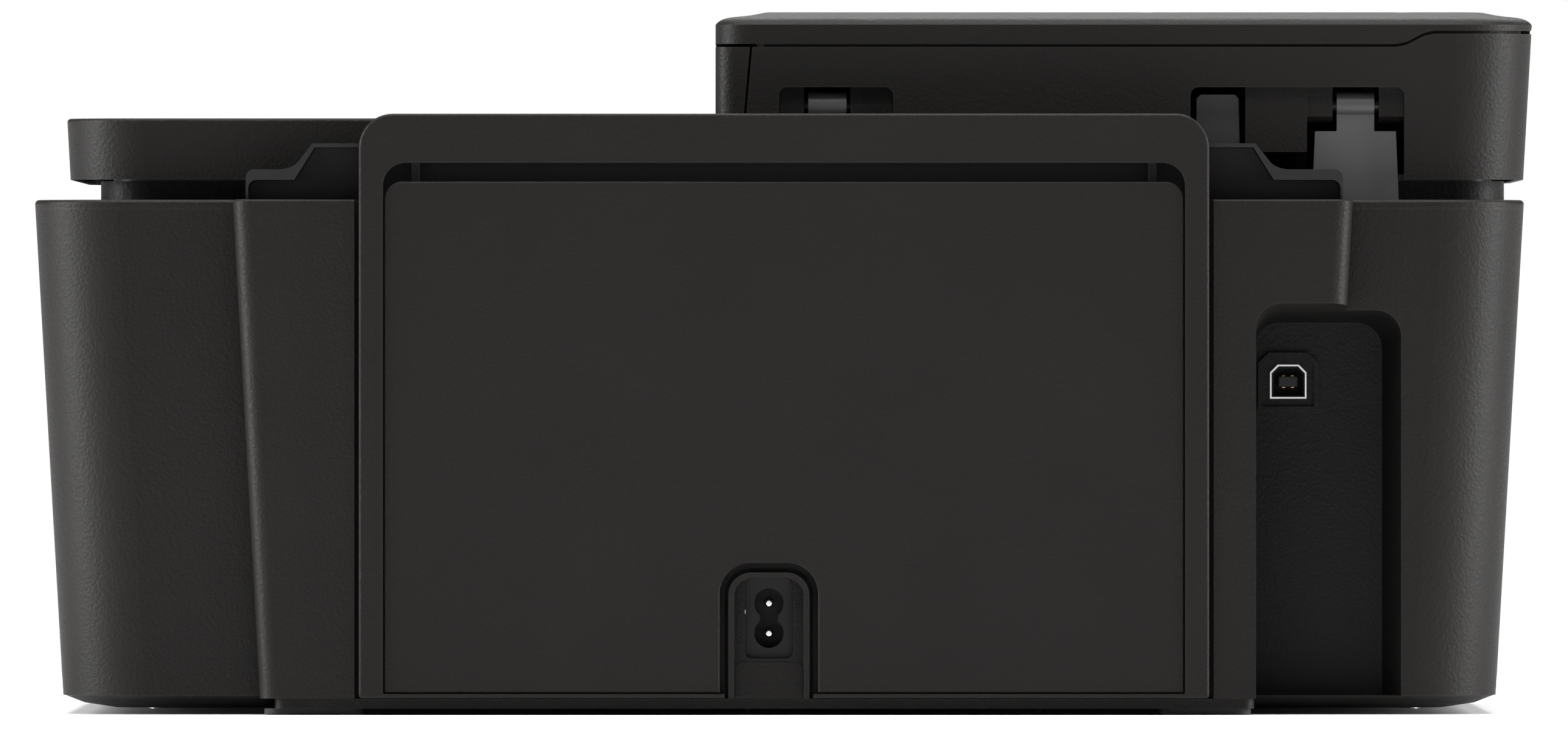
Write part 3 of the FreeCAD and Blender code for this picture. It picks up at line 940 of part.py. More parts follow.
def make_lid():
    w = LID_WALL
    low = cut(low_lid(0, LID_BOTTOM_Z, LID_TOP_Z), low_lid(w, LID_BOTTOM_Z - 0.001, LID_TOP_Z - w))
    low = soften(low, 1.0, lambda e: at_height(LID_TOP_Z)(e) and e.BoundBox.XMax > 100)
    high_x = FEEDER_RIGHT_X - 11.0
    tall = feeder(0, LID_TOP_Z - w / 2, FEEDER_HIGH_Z, FEEDER_RIGHT_X - 4)
    tall = cut(tall, seam_ramp(0), end_side(0))
    tall_room = feeder(w, LID_TOP_Z - w, FEEDER_HIGH_Z + 1, high_x)
    lip = cut(feeder(w - 0.2, FEEDER_TOP_Z - 5, FEEDER_HIGH_Z + 4, high_x + 1.4),
              feeder(w + 1.6, FEEDER_TOP_Z - 6, FEEDER_HIGH_Z + 5, high_x + 1.4))
    lip_above = cut(feeder(COVER_WALL + PLAY, FEEDER_TOP_Z - 6, FEEDER_HIGH_Z + 5, FEEDER_RIGHT_X),
                    box(-240, -206, LID_FRONT_Y + 12, LID_BACK_Y - 17, 150, 260))
    lip = cut(lip.common(lip_above), seam_ramp(SEAM_LIP), box(-240, 240, -240, 240, COVER_ROOM_Z - PLAY,
                                                              260),
              console_gap(CONSOLE_WALL + PLAY, FEEDER_TOP_Z - 1, 260))
    throat = feeder(w, LID_TOP_Z - w - 0.5, LID_TOP_Z + 1, high_x)
    ribs = [box(high_x - 2, FEEDER_RIGHT_X - w - 2, y, y + RIB, LID_TOP_Z - 1, FEEDER_TOP_Z - w - PLAY)
            for y in RIB_YS]
    ribs += [box(high_x - 2, high_x + 4, y, y + RIB, FEEDER_TOP_Z - 8, FEEDER_TOP_Z) for y in RIB_YS]
    shell = join(cut(low, throat), cut(tall, tall_room), lip, *ribs)
    gap_wall = console_gap(w, LID_BOTTOM_Z, FEEDER_HIGH_Z).common(
        join(low_lid(0, LID_BOTTOM_Z, LID_TOP_Z), tall))
    shell = cut(join(shell, gap_wall), console_gap(0, 100, 260))
    exit_slot = box(high_x - 5, 60, -113, 113, LID_TOP_Z + 1.5, LID_TOP_Z + 7.5)
    shell = cut(shell, *pocket_spaces(), exit_slot)
    blocks = [knuckle(-5.7, 1.2, 180), knuckle(-31.0, -19.0, 180), knuckle(-156.8, -149.0, 180),
              knuckle(-177.1, -170.1, 180), box(-149.5, -131.9, PIVOT_Y - 1, LID_BACK_Y - 1.6, 160.4, 180)]
    ceilings = [box(-33.5, 3.6, PIVOT_Y - 5, LID_BACK_Y - 1, 179.0, 181.0),
                box(-179.5, -114.0, PIVOT_Y - 5, LID_BACK_Y - 1, 179.0, 181.0)]
    shell = join(shell, *ceilings, *blocks)
    holes = [rod("x", a, b, PIVOT_Y, PIVOT_Z, PIVOT_R) for a, b in ((-31.1, 1.3), (-177.2, -131.8))]
    keep("lid_shell", cut(shell, *holes))
    pins = [rod("x", a, b, PIVOT_Y, PIVOT_Z, PIVOT_R) for a, b in ((-29, -1), (-176, -148))]
    keep("hinge_pins", *pins)
    end_z1 = FEEDER_TOP_Z
    whole = feeder(0, LID_TOP_Z + 0.3, end_z1, FEEDER_RIGHT_X)
    room = feeder(w, LID_TOP_Z - 1, end_z1 - w, FEEDER_RIGHT_X)
    end_zone = end_side(0.7)
    rib_rooms = [box(high_x - 3, high_x + 4 + PLAY, y - PLAY, y + RIB + PLAY, FEEDER_TOP_Z - 9,
                     FEEDER_TOP_Z + 1) for y in RIB_YS]
    back_part = cut(whole, room, exit_slot, *rib_rooms).common(end_zone)
    keep("feeder_end_cover", back_part)
    bed = cut(feeder(w + 0.3, 182.0, 184.4, high_x), box(-63, -41, -40, 40, 170, 200),
              console_gap(w + 0.3, 100, 260))
    fins = [box(x, x + 1.5, y - 12, y + 12, 176, 182.2) for x in (-66.5, -38.5) for y in (-60, 60)]
    posts = [box(x, x + 3, y, y + 3, LID_BOTTOM_Z + 2.2, 182.5) for x in (-150, -78) for y in (-50, 90)]
    keep("feeder_bed", join(bed, *posts, *fins))
    keep("white_backing", plan_block(-164, 148, -108, 102, LID_BOTTOM_Z - 0.2, LID_BOTTOM_Z + 2.2, 3))
    legs = [box(x, x + 3, y, y + 3, LID_BOTTOM_Z + 2.2, LID_TOP_Z - 1) for x in (60, 130) for y in (-100,
                                                                                                    80)]
    parts["lid_shell"] = join(parts["lid_shell"], *legs)


COVER_HINGE_X, COVER_HINGE_Z = -212.5, 196.2
COVER_HINGE_YS = (-35.0, 90.0)
COVER_PIN_R, COVER_BARREL_R = 0.8, 1.7


def make_cover():
    """Domed cover of the feeder, which is also its input tray when it stands open."""
    def row(z, inset):
        return lid_row(z, inset, FEEDER_RIGHT_X, 10.0)
    rise = COVER_CROWN_Z - COVER_EDGE_Z
    dome = []
    for step in range(CROWN_STEPS + 1):
        turn = math.radians(90) * step / CROWN_STEPS
        dome.append(row(COVER_EDGE_Z + rise * math.sin(turn),
                        CROWN_INSET * (1 - math.cos(turn)) + 0.01 * step))
    solid = join(stack(row(FEEDER_TOP_Z, 0), row(COVER_EDGE_Z, 0)), Part.makeLoft(dome, True, False))
    room = stack(row(FEEDER_TOP_Z - 1, COVER_WALL), row(COVER_ROOM_Z, COVER_WALL))
    shell = cut(solid, room).common(seam_ramp(SEAM))
    shell = cut(shell, console_gap(0.0, 100, 260))
    edge = console_gap(CONSOLE_WALL, FEEDER_TOP_Z, COVER_EDGE_Z).common(solid).common(seam_ramp(SEAM))
    guard = join(shell, cut(edge, console_gap(0, 100, 260)))
    barrels = []
    lugs = []
    for y in COVER_HINGE_YS:
        x, z = COVER_HINGE_X, COVER_HINGE_Z
        notch = box(x - 4, x + 3.2, y - 3.4, y + 3.4, FEEDER_HIGH_Z - 1, COVER_CROWN_Z + 1)
        bore = rod("y", y - 9.2, y + 9.2, x, z, COVER_PIN_R + CLEAR)
        barrel = rod("y", y - 9, y + 9, x, z, COVER_BARREL_R)
        barrels.append((barrel, notch, bore))
        post = box(x - 1.5, x + 1.5, y - 3.0, y + 3.0, FEEDER_HIGH_Z - 3.5, z)
        lugs.append(join(post, rod("y", y - 3.0, y + 3.0, x, z, 1.5),
                         rod("y", y - 7.5, y + 7.5, x, z, COVER_PIN_R)))
    corner = cut(box(COVER_HINGE_X - 5, COVER_HINGE_X, -200, 200, 190, COVER_HINGE_Z),
                 rod("y", -200, 200, COVER_HINGE_X, COVER_HINGE_Z, COVER_BARREL_R))
    guard = join(guard, *[b[0] for b in barrels])
    keep("feeder_cover", cut(guard, corner, *[b[1] for b in barrels], *[b[2] for b in barrels]))
    parts["lid_shell"] = join(parts["lid_shell"], *lugs)
    roller = join(rod("y", -24, 24, -52, 183.4, 5.5), rod("y", -36, 36, -52, 183.4, 2.0))
    keep("feeder_roller", roller)
    ends = ((-34, -31), (31, 34))
    lugs = [join(box(-56, -48, a, b, 178.0, 188.0), box(-64.5, -39.5, a, b, 178.0, 182.5)) for a, b in ends]
    bed = join(parts["feeder_bed"], *lugs)
    parts["feeder_bed"] = cut(bed, rod("y", -36.5, 36.5, -52, 183.4, 2.0 + CLEAR))


def make_arms():
    """Grey arms that carry the lid, standing on the deck behind the scanner neck."""
    foot_z = CASE_TOP_Z + 0.1
    y0, y1 = PIVOT_Y - ARM_T / 2, PIVOT_Y + ARM_T / 2

    def arm(mid_x, narrow, wide):
        neck = join(box(mid_x - narrow / 2, mid_x + narrow / 2, y0, y1, 160, PIVOT_Z),
                    rod("x", mid_x - narrow / 2, mid_x + narrow / 2, PIVOT_Y, PIVOT_Z, ARM_TOP_R))
        top_half, low_half = wide / 2, wide / 2 + 0.8
        lower = prism_y([(mid_x - low_half, foot_z), (mid_x + low_half, foot_z), (mid_x + top_half, 166.3),
                         (mid_x - top_half, 166.3)], y0, y1)
        return cut(join(neck, lower), rod("x", mid_x - 40, mid_x + 40, PIVOT_Y, PIVOT_Z, PIVOT_R + CLEAR))
    guide = prism_y([(-130.6, foot_z), (-118.0, foot_z), (-118.0, 175.6), (-119.2, 176.8), (-129.0, 176.8),
                     (-130.0, 175.6)], PIVOT_Y - 2.5, PIVOT_Y + 0.5)
    keep("hinge_arms", arm(-12.4, 10.9, 10.9), arm(-163.4, 10.7, 23.1), guide)


def make_screws():
    screws = []
    for x, y in ((-180, -120), (180, -120), (-60, -120), (60, -120), (-180, 60), (180, 60)):
        head = rod("z", PAN_BOTTOM_Z - 1.0, PAN_BOTTOM_Z, x, y, 3.0)
        slot = box(x - 0.4, x + 0.4, y - 2, y + 2, PAN_BOTTOM_Z - 1.5, PAN_BOTTOM_Z - 0.4)
        screws.append(cut(head, slot))
    keep("case_screws", *screws)


def main():
    os.makedirs("parts", exist_ok=True)
    for make in (make_case, make_pan, make_feet, make_housing, make_inlet, make_usb, make_tray, make_throat,
                 make_width_guides, make_output, make_door, divide_case, make_frame, make_drive, make_rollers,
                 make_carriage_line, make_carriage, make_service, make_scanner, make_console, make_lid,
                 make_cover, make_arms, make_screws):
        make()
    for name, shape in sorted(parts.items()):
        solids = shape.Solids
        if not solids or not shape.isValid():
            print("CHECK", name, len(solids), shape.isValid())
        body = solids[0] if len(solids) == 1 else Part.makeCompound(solids)
        body.exportStep(f"parts/{name}.step")
    print(len(parts), "parts")


main()
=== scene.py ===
import bpy
import bmesh
import json
import math
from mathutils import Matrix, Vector


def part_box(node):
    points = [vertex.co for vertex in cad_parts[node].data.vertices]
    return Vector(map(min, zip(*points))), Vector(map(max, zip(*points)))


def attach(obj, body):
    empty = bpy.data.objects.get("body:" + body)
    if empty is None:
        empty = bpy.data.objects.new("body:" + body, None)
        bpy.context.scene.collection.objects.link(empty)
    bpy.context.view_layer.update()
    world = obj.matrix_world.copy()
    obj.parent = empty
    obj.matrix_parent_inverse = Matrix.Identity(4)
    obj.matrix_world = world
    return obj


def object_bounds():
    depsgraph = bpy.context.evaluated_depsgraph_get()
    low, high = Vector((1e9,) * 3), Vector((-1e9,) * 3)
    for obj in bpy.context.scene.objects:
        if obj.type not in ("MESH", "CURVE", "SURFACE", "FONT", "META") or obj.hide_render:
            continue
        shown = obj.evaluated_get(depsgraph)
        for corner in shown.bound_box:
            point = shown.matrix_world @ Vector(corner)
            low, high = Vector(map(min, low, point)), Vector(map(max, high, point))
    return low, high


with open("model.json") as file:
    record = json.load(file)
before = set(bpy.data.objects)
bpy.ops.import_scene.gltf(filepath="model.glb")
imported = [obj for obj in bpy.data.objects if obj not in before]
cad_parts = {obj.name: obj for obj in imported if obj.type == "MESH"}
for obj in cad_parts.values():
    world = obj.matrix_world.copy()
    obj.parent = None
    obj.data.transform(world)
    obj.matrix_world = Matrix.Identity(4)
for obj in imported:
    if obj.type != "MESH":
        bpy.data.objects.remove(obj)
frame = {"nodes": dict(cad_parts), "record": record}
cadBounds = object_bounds()
print("frame loaded:", len(frame["nodes"]), "nodes")


# ---- shading helpers

def newTree(name):
    material = bpy.data.materials.new(name)
    material.use_nodes = True
    nodes = material.node_tree.nodes
    nodes.clear()
    output = nodes.new("ShaderNodeOutputMaterial")
    shader = nodes.new("ShaderNodeBsdfPrincipled")
    material.node_tree.links.new(shader.outputs["BSDF"], output.inputs["Surface"])
    return material, material.node_tree, shader


def addNode(tree, kind, inputs=None, **settings):
    node = tree.nodes.new(kind)
    for key, value in settings.items():
        setattr(node, key, value)
    for key, value in (inputs or {}).items():
        if isinstance(value, bpy.types.NodeSocket):
            tree.links.new(value, node.inputs[key])
        else:
            node.inputs[key].default_value = value
    return node


def noiseAt(tree, place, size, detail=3.0, rough=0.5):
    # size is the width of one blotch in metres
    return addNode(tree, "ShaderNodeTexNoise",
                   {"Vector": place, "Scale": 1.0 / size, "Detail": detail, "Roughness": rough})


def spread(tree, value, low, high, fromLow=0.3, fromHigh=0.7):
    node = addNode(tree, "ShaderNodeMapRange",
                   {"Value": value, "From Min": fromLow, "From Max": fromHigh, "To Min": low, "To Max": high})
    return node.outputs["Result"]


def tone(tree, factor, dark, light):
    node = addNode(tree, "ShaderNodeMix", {"Factor": factor}, data_type="RGBA")
    node.inputs[6].default_value = (*dark, 1)
    node.inputs[7].default_value = (*light, 1)
    return node.outputs[2]


def scaled(color, amount):
    return tuple(min(c * amount, 1.0) for c in color)


def edgeMask(tree, radius):
    # 1 on a sharp edge, 0 on a flat, from how far a rounded normal turns away
    rounded = addNode(tree, "ShaderNodeBevel", {"Radius": radius}, samples=4)
    plain = addNode(tree, "ShaderNodeNewGeometry")
    both = addNode(tree, "ShaderNodeVectorMath", {0: rounded.outputs["Normal"], 1: plain.outputs["Normal"]},
                   operation="DOT_PRODUCT")
    return spread(tree, both.outputs["Value"], 1.0, 0.0, 0.80, 0.995)


# ---- finishes

def mouldedPlastic(name, v):
    # spark-eroded plastic: round grains over a finer noise, its edges lighter: a little wear and a painted
    # highlight
    material, tree, shader = newTree(name)
    place = addNode(tree, "ShaderNodeTexCoord").outputs["Object"]
    grains = addNode(tree, "ShaderNodeTexVoronoi",
                     {"Vector": place, "Scale": 1.0 / v["grain"], "Smoothness": 0.6}, feature="SMOOTH_F1")
    fine = noiseAt(tree, place, v["grain"] * 0.55, 2.0)
    broad = noiseAt(tree, place, v["cloud"], 3.0)
    height = addNode(tree, "ShaderNodeMath", {0: grains.outputs["Distance"], 1: fine.outputs["Fac"]},
                     operation="ADD")
    bump = addNode(tree, "ShaderNodeBump", {"Height": height.outputs[0], "Strength": v["bump"],
                                            "Distance": v["depth"]})
    edgeWearAndHighlight = edgeMask(tree, v["edge"])
    base = tone(tree, spread(tree, broad.outputs["Fac"], 0.0, 1.0),
                scaled(v["color"], 1 - v["drift"]), scaled(v["color"], 1 + v["drift"]))
    # painted highlight, partly wear: edges mixed toward a lighter copy of the colour
    mixed = addNode(tree, "ShaderNodeMix", {"Factor": edgeWearAndHighlight}, data_type="RGBA")
    tree.links.new(base, mixed.inputs[6])
    mixed.inputs[7].default_value = (*scaled(v["color"], v["edgeWearAndHighlightTone"]), 1)
    tree.links.new(mixed.outputs[2], shader.inputs["Base Color"])
    rough = spread(tree, fine.outputs["Fac"], v["rough"] - 0.05, v["rough"] + 0.05)
    tree.links.new(rough, shader.inputs["Roughness"])
    tree.links.new(bump.outputs["Normal"], shader.inputs["Normal"])
    shader.inputs["Specular IOR Level"].default_value = v["shine"]
    return material


def turnedMetal(name, v):
    # drawn or ground metal: long scratches along one axis over soft stains
    material, tree, shader = newTree(name)
    place = addNode(tree, "ShaderNodeTexCoord").outputs["Object"]
    along = addNode(tree, "ShaderNodeMapping", {"Vector": place, "Scale": v["stretch"]})
    lines = noiseAt(tree, along.outputs["Vector"], v["line"], 2.0)
    stain = noiseAt(tree, place, 0.02, 4.0)
    color = tone(tree, spread(tree, stain.outputs["Fac"], 0.0, 1.0), scaled(v["color"], 0.86), v["color"])
    tree.links.new(color, shader.inputs["Base Color"])
    tree.links.new(spread(tree, lines.outputs["Fac"], v["rough"] * 0.7, v["rough"] * 1.35),
                   shader.inputs["Roughness"])
    bump = addNode(tree, "ShaderNodeBump", {"Height": lines.outputs["Fac"], "Strength": 0.25,
                                            "Distance": 0.00002})
    tree.links.new(bump.outputs["Normal"], shader.inputs["Normal"])
    shader.inputs["Metallic"].default_value = 1.0
    return material


def softRubber(name, v):
    material, tree, shader = newTree(name)
    place = addNode(tree, "ShaderNodeTexCoord").outputs["Object"]
    dust = noiseAt(tree, place, 0.006, 5.0)
    grit = noiseAt(tree, place, v["grain"], 2.0)
    color = tone(tree, spread(tree, dust.outputs["Fac"], 0.0, 1.0), v["color"], scaled(v["color"], 1.6))
    tree.links.new(color, shader.inputs["Base Color"])
    tree.links.new(spread(tree, dust.outputs["Fac"], v["rough"] - 0.08, v["rough"] + 0.08),
                   shader.inputs["Roughness"])
    bump = addNode(tree, "ShaderNodeBump", {"Height": grit.outputs["Fac"], "Strength": 0.4,
                                            "Distance": 0.00005})
    tree.links.new(bump.outputs["Normal"], shader.inputs["Normal"])
    shader.inputs["Specular IOR Level"].default_value = 0.3
    return material


def clearGlass(name, v):
    material, tree, shader = newTree(name)
    place = addNode(tree, "ShaderNodeTexCoord").outputs["Object"]
    wipe = noiseAt(tree, place, 0.03, 4.0)
    tint = tone(tree, spread(tree, wipe.outputs["Fac"], 0.0, 1.0), v["color"], scaled(v["color"], 1.05))
    tree.links.new(tint, shader.inputs["Base Color"])
    tree.links.new(spread(tree, wipe.outputs["Fac"], 0.01, 0.06), shader.inputs["Roughness"])
    shader.inputs["Transmission Weight"].default_value = 1.0
    shader.inputs["IOR"].default_value = 1.5
    return material


finishValues = {  # user-changeable: one entry for each finish
    # the edge tone lightens each edge: partly wear, partly painted highlight
    "casePlastic": {"kind": mouldedPlastic, "color": (0.0088, 0.0080, 0.0075), "grain": 0.0010, "cloud": 0.04,
                    "depth": 0.00012, "bump": 0.7, "edge": 0.0007, "edgeWearAndHighlightTone": 2.0, "drift": 0.06,
                    "rough": 0.50, "shine": 0.14},
    "smoothPlastic": {"kind": mouldedPlastic, "color": (0.060, 0.060, 0.061), "grain": 0.0004, "cloud": 0.02,
                      "depth": 0.00003, "bump": 0.25, "edge": 0.0005, "edgeWearAndHighlightTone": 1.3, "drift": 0.05,
                      "rough": 0.42, "shine": 0.5},
    "darkPlastic": {"kind": mouldedPlastic, "color": (0.008, 0.008, 0.0083), "grain": 0.0006, "cloud": 0.02,
                    "depth": 0.00004, "bump": 0.35, "edge": 0.0004, "edgeWearAndHighlightTone": 1.5, "drift": 0.08,
                    "rough": 0.5, "shine": 0.25},
    "glossPlastic": {"kind": mouldedPlastic, "color": (0.012, 0.012, 0.013), "grain": 0.0005, "cloud": 0.03,
                     "depth": 0.00001, "bump": 0.1, "edge": 0.0003, "edgeWearAndHighlightTone": 1.6, "drift": 0.05,
                     "rough": 0.14, "shine": 0.5},
    # paper throat: satin moulding, its colour darkened as painted shade inside the hood
    "throatSatinPaintedShade": {"kind": mouldedPlastic, "color": (0.0075, 0.0075, 0.0078), "grain": 0.0005,
                      "cloud": 0.03, "depth": 0.00002, "bump": 0.2, "edge": 0.0005, "edgeWearAndHighlightTone": 1.6,
                      "drift": 0.05, "rough": 0.40, "shine": 0.35},
    "socketPlastic": {"kind": mouldedPlastic, "color": (0.003, 0.003, 0.003), "grain": 0.0004, "cloud": 0.004,
                      "depth": 0.00001, "bump": 0.1, "edge": 0.0001, "edgeWearAndHighlightTone": 1.5, "drift": 0.05,
                      "rough": 0.5, "shine": 0.15},
    "tonguePlastic": {"kind": mouldedPlastic, "color": (0.014, 0.014, 0.014), "grain": 0.0004, "cloud": 0.004,
                      "depth": 0.00001, "bump": 0.1, "edge": 0.0001, "edgeWearAndHighlightTone": 1.5, "drift": 0.05,
                      "rough": 0.45, "shine": 0.3},
    # recess liner: the case plastic darkened as painted shade in the deep recess
    "recessPaintedShade": {"kind": mouldedPlastic, "color": (0.0055, 0.0051, 0.0048), "grain": 0.0011,
                      "cloud": 0.04, "depth": 0.00012, "bump": 0.7, "edge": 0.0007, "edgeWearAndHighlightTone": 2.4,
                      "drift": 0.06, "rough": 0.55, "shine": 0.2},
    "markInk": {"kind": mouldedPlastic, "color": (0.55, 0.55, 0.54), "grain": 0.0003, "cloud": 0.004,
                "depth": 0.000005, "bump": 0.1, "edge": 0.0001, "edgeWearAndHighlightTone": 1.05, "drift": 0.06,
                "rough": 0.5, "shine": 0.3},
    "stripFilm": {"kind": mouldedPlastic, "color": (0.20, 0.20, 0.19), "grain": 0.0003, "cloud": 0.02,
                  "depth": 0.000005, "bump": 0.05, "edge": 0.0001, "edgeWearAndHighlightTone": 1.2, "drift": 0.08,
                  "rough": 0.2, "shine": 0.5},
    "greyPins": {"kind": mouldedPlastic, "color": (0.035, 0.035, 0.035), "grain": 0.0004, "cloud": 0.01,
                 "depth": 0.00001, "bump": 0.1, "edge": 0.0003, "edgeWearAndHighlightTone": 1.3, "drift": 0.05,
                 "rough": 0.35, "shine": 0.4},
    "naturalPlastic": {"kind": mouldedPlastic, "color": (0.72, 0.70, 0.64), "grain": 0.0006, "cloud": 0.01,
                       "depth": 0.00002, "bump": 0.2, "edge": 0.0004, "edgeWearAndHighlightTone": 1.05, "drift": 0.04,
                       "rough": 0.38, "shine": 0.5},
    "whiteFoam": {"kind": mouldedPlastic, "color": (0.80, 0.80, 0.78), "grain": 0.0012, "cloud": 0.03,
                  "depth": 0.00008, "bump": 0.3, "edge": 0.0006, "edgeWearAndHighlightTone": 0.92, "drift": 0.03,
                  "rough": 0.72, "shine": 0.3},
    "board": {"kind": mouldedPlastic, "color": (0.010, 0.070, 0.028), "grain": 0.0008, "cloud": 0.012,
              "depth": 0.00002, "bump": 0.2, "edge": 0.0003, "edgeWearAndHighlightTone": 1.8, "drift": 0.15,
              "rough": 0.28, "shine": 0.5},
    "platedSteel": {"kind": turnedMetal, "color": (0.60, 0.60, 0.58), "stretch": (0.15, 1, 1), "line": 0.0008,
                    "rough": 0.34},
    "groundSteel": {"kind": turnedMetal, "color": (0.78, 0.78, 0.77), "stretch": (1, 0.2, 1), "line": 0.0004,
                    "rough": 0.16},
    "brass": {"kind": turnedMetal, "color": (0.72, 0.52, 0.24), "stretch": (1, 1, 0.3), "line": 0.0004,
              "rough": 0.24},
    "rubber": {"kind": softRubber, "color": (0.018, 0.018, 0.018), "grain": 0.0005, "rough": 0.72},
    "glass": {"kind": clearGlass, "color": (0.93, 0.97, 0.96)},
}
finishes = {name: v["kind"](name, v) for name, v in finishValues.items()}

finishOfSlot = {
    "case_plastic": "casePlastic", "smooth_plastic": "smoothPlastic", "dark_plastic": "darkPlastic",
    "gloss_plastic": "glossPlastic", "natural_plastic": "naturalPlastic", "white_foam": "whiteFoam",
    "board": "board", "steel": "platedSteel", "polished_steel": "groundSteel", "brass": "brass",
    "rubber": "rubber", "glass": "glass",
}


finishOfNode = {  # nodes whose finish differs from the rest of their slot: the paper throat and the recess liner are darkened as painted shade, the hinge pins are grey
    "paper_throat": "throatSatinPaintedShade", "hinge_pins": "greyPins", "recess_liner": "recessPaintedShade",
}


def dressNodes():
    slotOfNode = {row["node"]: row["material_slot"] for row in frame["record"]["subparts"]}
    for name, node in frame["nodes"].items():
        finish = finishes[finishOfNode.get(name, finishOfSlot[slotOfNode[name]])]
        node.data.materials.clear()
        node.data.materials.append(finish)


dressNodes()
print("finishes on:", len(finishes))


# ---- modelling helpers

def block(bm, low, high, bevel=0.0):
    # a box between two corners, its edges rounded off
    made = bmesh.ops.create_cube(bm, size=1.0)["verts"]
    size = [high[i] - low[i] for i in range(3)]
    bmesh.ops.scale(bm, verts=made, vec=size)
    bmesh.ops.translate(bm, verts=made, vec=[(high[i] + low[i]) / 2 for i in range(3)])
    if bevel:
        edges = list({e for v in made for e in v.link_edges})
        bmesh.ops.bevel(bm, geom=edges, offset=bevel, segments=2, profile=0.5, material=-1, affect="EDGES")
    return made


def plate(bm, outline, low, high, axis="Y"):
    # a flat outline of (x, z) or (x, y) points raised from low to high along an axis
    place = {"Y": lambda u, v: (u, low, v), "Z": lambda u, v: (u, v, low)}[axis]
    face = bm.faces.new([bm.verts.new(place(u, v)) for u, v in outline])
    raised = bmesh.ops.extrude_face_region(bm, geom=[face])["geom"]
    verts = [g for g in raised if isinstance(g, bmesh.types.BMVert)]
    shift = {"Y": (0, high - low, 0), "Z": (0, 0, high - low)}[axis]
    bmesh.ops.translate(bm, verts=verts, vec=shift)


def finishPiece(bm, name, body, finish, smooth=False):
    bmesh.ops.remove_doubles(bm, verts=bm.verts, dist=1e-6)
    bmesh.ops.recalc_face_normals(bm, faces=bm.faces)
    mesh = bpy.data.meshes.new(name)
    bm.to_mesh(mesh)
    bm.free()
    for face in mesh.polygons:
        face.use_smooth = smooth
    mesh.materials.append(finishes[finish])
    piece = bpy.data.objects.new(name, mesh)
    bpy.context.scene.collection.objects.link(piece)
    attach(piece, body)
    return piece


# ---- data socket: black insert and its contact tongue

dataSocket = {  # user-changeable: metres
    "inset": 0.0012, "skin": 0.00045, "gap": 0.00005, "corner": 0.0019, "depth": 0.012,
    "rim": 0.0006, "wellDeep": 0.0085, "tongueWide": 0.0056, "tongueHigh": 0.0031, "tongueSoft": 0.0003,
    "tongueBack": 0.002, "tongueInset": 0.0022, "contactWide": 0.0009, "contactHigh": 0.00022,
    "contactSide": 0.00125, "contactBack": 0.003, "contactInset": 0.0032, "contactSoft": 0.00005,
}


def makeDataSocket():
    v = dataSocket
    low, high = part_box("usb_socket")
    midX, midZ = (low[0] + high[0]) / 2, (low[2] + high[2]) / 2
    halfW = (high[0] - low[0]) / 2 - v["skin"] - v["gap"]
    halfH = (high[2] - low[2]) / 2 - v["skin"] - v["gap"]
    mouth = high[1] - v["inset"]
    back = mouth - v["depth"]
    bm = bmesh.new()
    outline = [(midX - halfW, midZ - halfH), (midX + halfW, midZ - halfH),
               (midX + halfW, midZ + halfH - v["corner"]), (midX + halfW - v["corner"], midZ + halfH),
               (midX - halfW + v["corner"], midZ + halfH), (midX - halfW, midZ + halfH - v["corner"])]
    plate(bm, outline, back, mouth)
    front = max(bm.faces, key=lambda f: f.calc_center_median().y)
    bmesh.ops.inset_region(bm, faces=[front], thickness=v["rim"])
    sunk = bmesh.ops.extrude_face_region(bm, geom=[front])["geom"]
    bmesh.ops.delete(bm, geom=[front], context="FACES_ONLY")
    bmesh.ops.translate(bm, verts=[g for g in sunk if isinstance(g, bmesh.types.BMVert)],
                        vec=(0, -v["wellDeep"], 0))
    finishPiece(bm, "dataSocketInsert", "body", "socketPlastic")
    bm = bmesh.new()
    block(bm, (midX - v["tongueWide"] / 2, back + v["tongueBack"], midZ - v["tongueHigh"] / 2),
          (midX + v["tongueWide"] / 2, mouth - v["tongueInset"], midZ + v["tongueHigh"] / 2), v["tongueSoft"])
    finishPiece(bm, "dataSocketTongue", "body", "tonguePlastic")
    bm = bmesh.new()
    for side in (-1, 1):
        for level in (-1, 1):
            x, z = midX + side * v["contactSide"], midZ + level * (v["tongueHigh"] / 2)
            block(bm, (x - v["contactWide"] / 2, back + v["contactBack"], z - v["contactHigh"]),
                  (x + v["contactWide"] / 2, mouth - v["contactInset"], z + v["contactHigh"]),
                  v["contactSoft"])
    finishPiece(bm, "dataSocketContacts", "body", "brass")


makeDataSocket()
print("data socket done")


# ---- control panel: marks on the buttons, bars on the display

panelMarks = {  # user-changeable: metres
    "lift": 0.00004, "line": 0.00035, "ring": 0.0017, "powerArc": (125, 415),
    "sheetHalf": (0.0011, 0.0014), "sheetShift": 0.0006,
    "barRows": 3, "barLeft": 0.2, "barRight": 0.8, "barShorter": 0.15, "barTop": 0.2, "barStep": 0.22,
    "barHigh": 0.07,  # the bars' places are shares of the display's sides
}


sheetBars = [(-1, -1, 1, -0.75), (-1, 0.75, 1, 1), (-1, -1, -0.7, 1), (0.7, -1, 1, 1)]  # x0, y0, x1, y1


def ringMark(bm, x, y, z, radius, line, arc=(0, 360), steps=40):
    # a flat ring of a thin line, open between the ends of its arc
    start, end = (math.radians(a) for a in arc)
    full = arc[1] - arc[0] >= 360
    rail = [bm.verts.new((x + r * math.cos(start), y + r * math.sin(start), z))
            for r in (radius - line, radius)]
    edge = bm.edges.new(rail)
    bmesh.ops.spin(bm, geom=[edge, *rail], cent=(x, y, z), axis=(0, 0, 1), angle=end - start, steps=steps,
                   use_merge=full)


